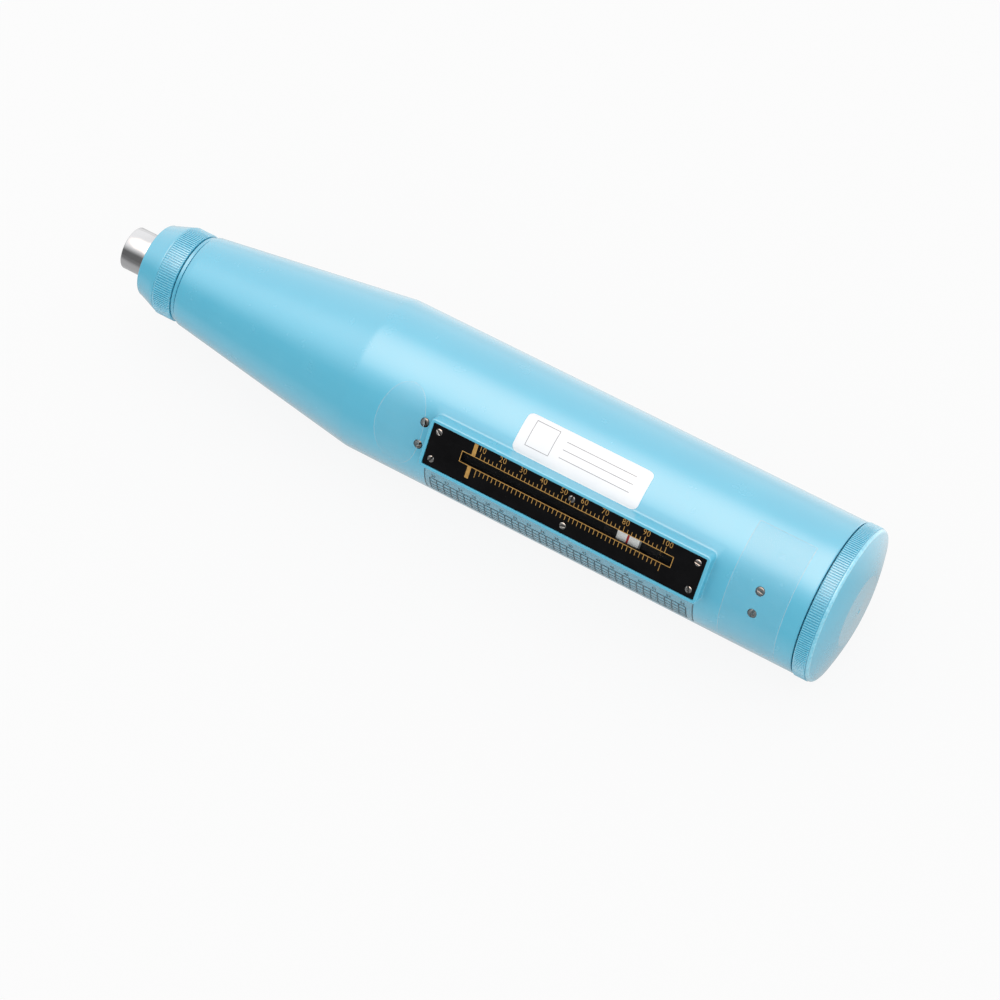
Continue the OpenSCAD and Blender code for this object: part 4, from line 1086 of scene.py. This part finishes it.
stageLook = {
    "floorReach": 6, "floor": (0.54, 0.54, 0.54), "floorRough": 0.8, "floorWhite": 0.90,
    "tailFade": (0.122, 0.146),
    "floorShine": ((-0.12, -0.045, 0.22, 0.62, 0.85), (0.03, 0.09, 0.0, 0.55, 2.2)),
    "lean": (-0.3, 0.36), "soft": (1.25, 0.92), "tailSide": (0.1, 0.9), "softTail": 1.75,
    "shine": (0.20, 1.35), "overhead": (0.76, 0.95), "panels": 2.3, "panelTint": (1.12, 0.88, 0.74),
}


def buildFloor(s):
    mesh = bpy.data.meshes.new("floor")
    corners = [(x * s["floorReach"], y * s["floorReach"], 0) for x, y in ((-1, -1), (1, -1), (1, 1), (-1, 1))]
    mesh.from_pydata(corners, [], [(0, 1, 2, 3)])
    floor = addObject("floor", mesh)
    material, tree, shader = newMaterial("pale floor")
    shader.inputs["Base Color"].default_value = (*s["floor"], 1.0)
    shader.inputs["Roughness"].default_value = s["floorRough"]
    path = addNode(tree, "ShaderNodeLightPath").outputs
    parts = addNode(tree, "ShaderNodeSeparateXYZ", ownPlace(tree)).outputs
    shares = []  # gloss sees the floor darken away from the front of the hammer
    for *ramp, byTail in s["floorShine"]:
        along = spread(tree, parts["X"], *s["tailFade"], 1.0, byTail)
        shares.append(calc(tree, "MULTIPLY", spread(tree, parts["Y"], *ramp), along))
    power = mixValue(tree, path["Is Glossy Ray"], 1.0, calc(tree, "ADD", *shares))
    glow = addNode(tree, "ShaderNodeEmission", Color=(1.0, 1.0, 1.0, 1.0), Strength=power)
    seen = calc(tree, "MAXIMUM", path["Is Camera Ray"], path["Is Glossy Ray"])
    seen = calc(tree, "MAXIMUM", seen, path["Is Transmission Ray"])
    white = calc(tree, "MULTIPLY", seen, s["floorWhite"])
    mix = addNode(tree, "ShaderNodeMixShader", white, shader.outputs[0], glow.outputs[0])
    plug(tree, tree.nodes["Material Output"].inputs["Surface"], mix.outputs[0])
    mesh.materials.append(material)


def buildWorld(s):
    world = bpy.data.worlds.new("studio")
    bpy.context.scene.world = world
    world.use_nodes = True
    tree = world.node_tree
    back = tree.nodes["Background"]
    coord = addNode(tree, "ShaderNodeTexCoord")
    parts = addNode(tree, "ShaderNodeSeparateXYZ", coord.outputs["Generated"]).outputs
    path = addNode(tree, "ShaderNodeLightPath").outputs
    lean = calc(tree, "ADD", parts["Y"], parts["Z"])  # bright from overhead to behind, dark on the camera's side
    tail = spread(tree, parts["X"], *s["tailSide"], 1.0, s["softTail"])  # a little more light on the tail's end
    soft = calc(tree, "MULTIPLY", spread(tree, lean, *s["lean"], *s["soft"]), tail)
    panels = spread(tree, parts["Z"], *s["overhead"], 1.0, s["panels"])  # gloss shows bright panels overhead
    shine = calc(tree, "MULTIPLY", spread(tree, lean, *s["lean"], *s["shine"]), panels)
    shown = mixValue(tree, path["Is Glossy Ray"], soft, shine)
    plug(tree, back.inputs["Strength"], mixValue(tree, path["Is Camera Ray"], shown, 1.0))
    warm = calc(tree, "MULTIPLY", path["Is Glossy Ray"], spread(tree, parts["Z"], *s["overhead"]))
    plug(tree, back.inputs["Color"], mixColour(tree, warm, (1.0, 1.0, 1.0), s["panelTint"]))


lampSizes = {"spot": (-0.25, 0.1, 1.1), "aim": (0.0, 0.0, 0.0), "size": (1.8, 0.7), "power": 3.2}


def buildLamp(s):
    lamp = bpy.data.lights.new("overhead", "AREA")
    lamp.shape, lamp.energy = "RECTANGLE", s["power"]
    lamp.size, lamp.size_y = s["size"]
    held = addObject("overhead", lamp)
    held.location = s["spot"]
    held.visible_glossy = False
    held.rotation_euler = (Vector(s["aim"]) - Vector(s["spot"])).to_track_quat("-Z", "Y").to_euler()


viewing = {"azimuth": 31.2, "elevation": 57.0, "distance": 1.1475, "lens": 128.5, "sensor": 36.0,
           "clip": (0.01, 50.0), "target": (0.02048, -0.023265, 0.027)}


def buildCamera(s):
    camera = addObject("camera", bpy.data.cameras.new("camera"))
    az, el = radians(s["azimuth"]), radians(s["elevation"])
    away = Vector((sin(az) * cos(el), -cos(az) * cos(el), sin(el)))
    camera.location = Vector(s["target"]) + away * s["distance"]
    camera.rotation_euler = (-away).to_track_quat("-Z", "Y").to_euler()
    camera.data.lens, camera.data.sensor_width = s["lens"], s["sensor"]
    camera.data.clip_start, camera.data.clip_end = s["clip"]
    bpy.context.scene.camera = camera


buildFloor(stageLook)
buildWorld(stageLook)
buildLamp(lampSizes)
buildCamera(viewing)
bpy.context.scene.view_settings.view_transform = "Standard"
print("studio made")
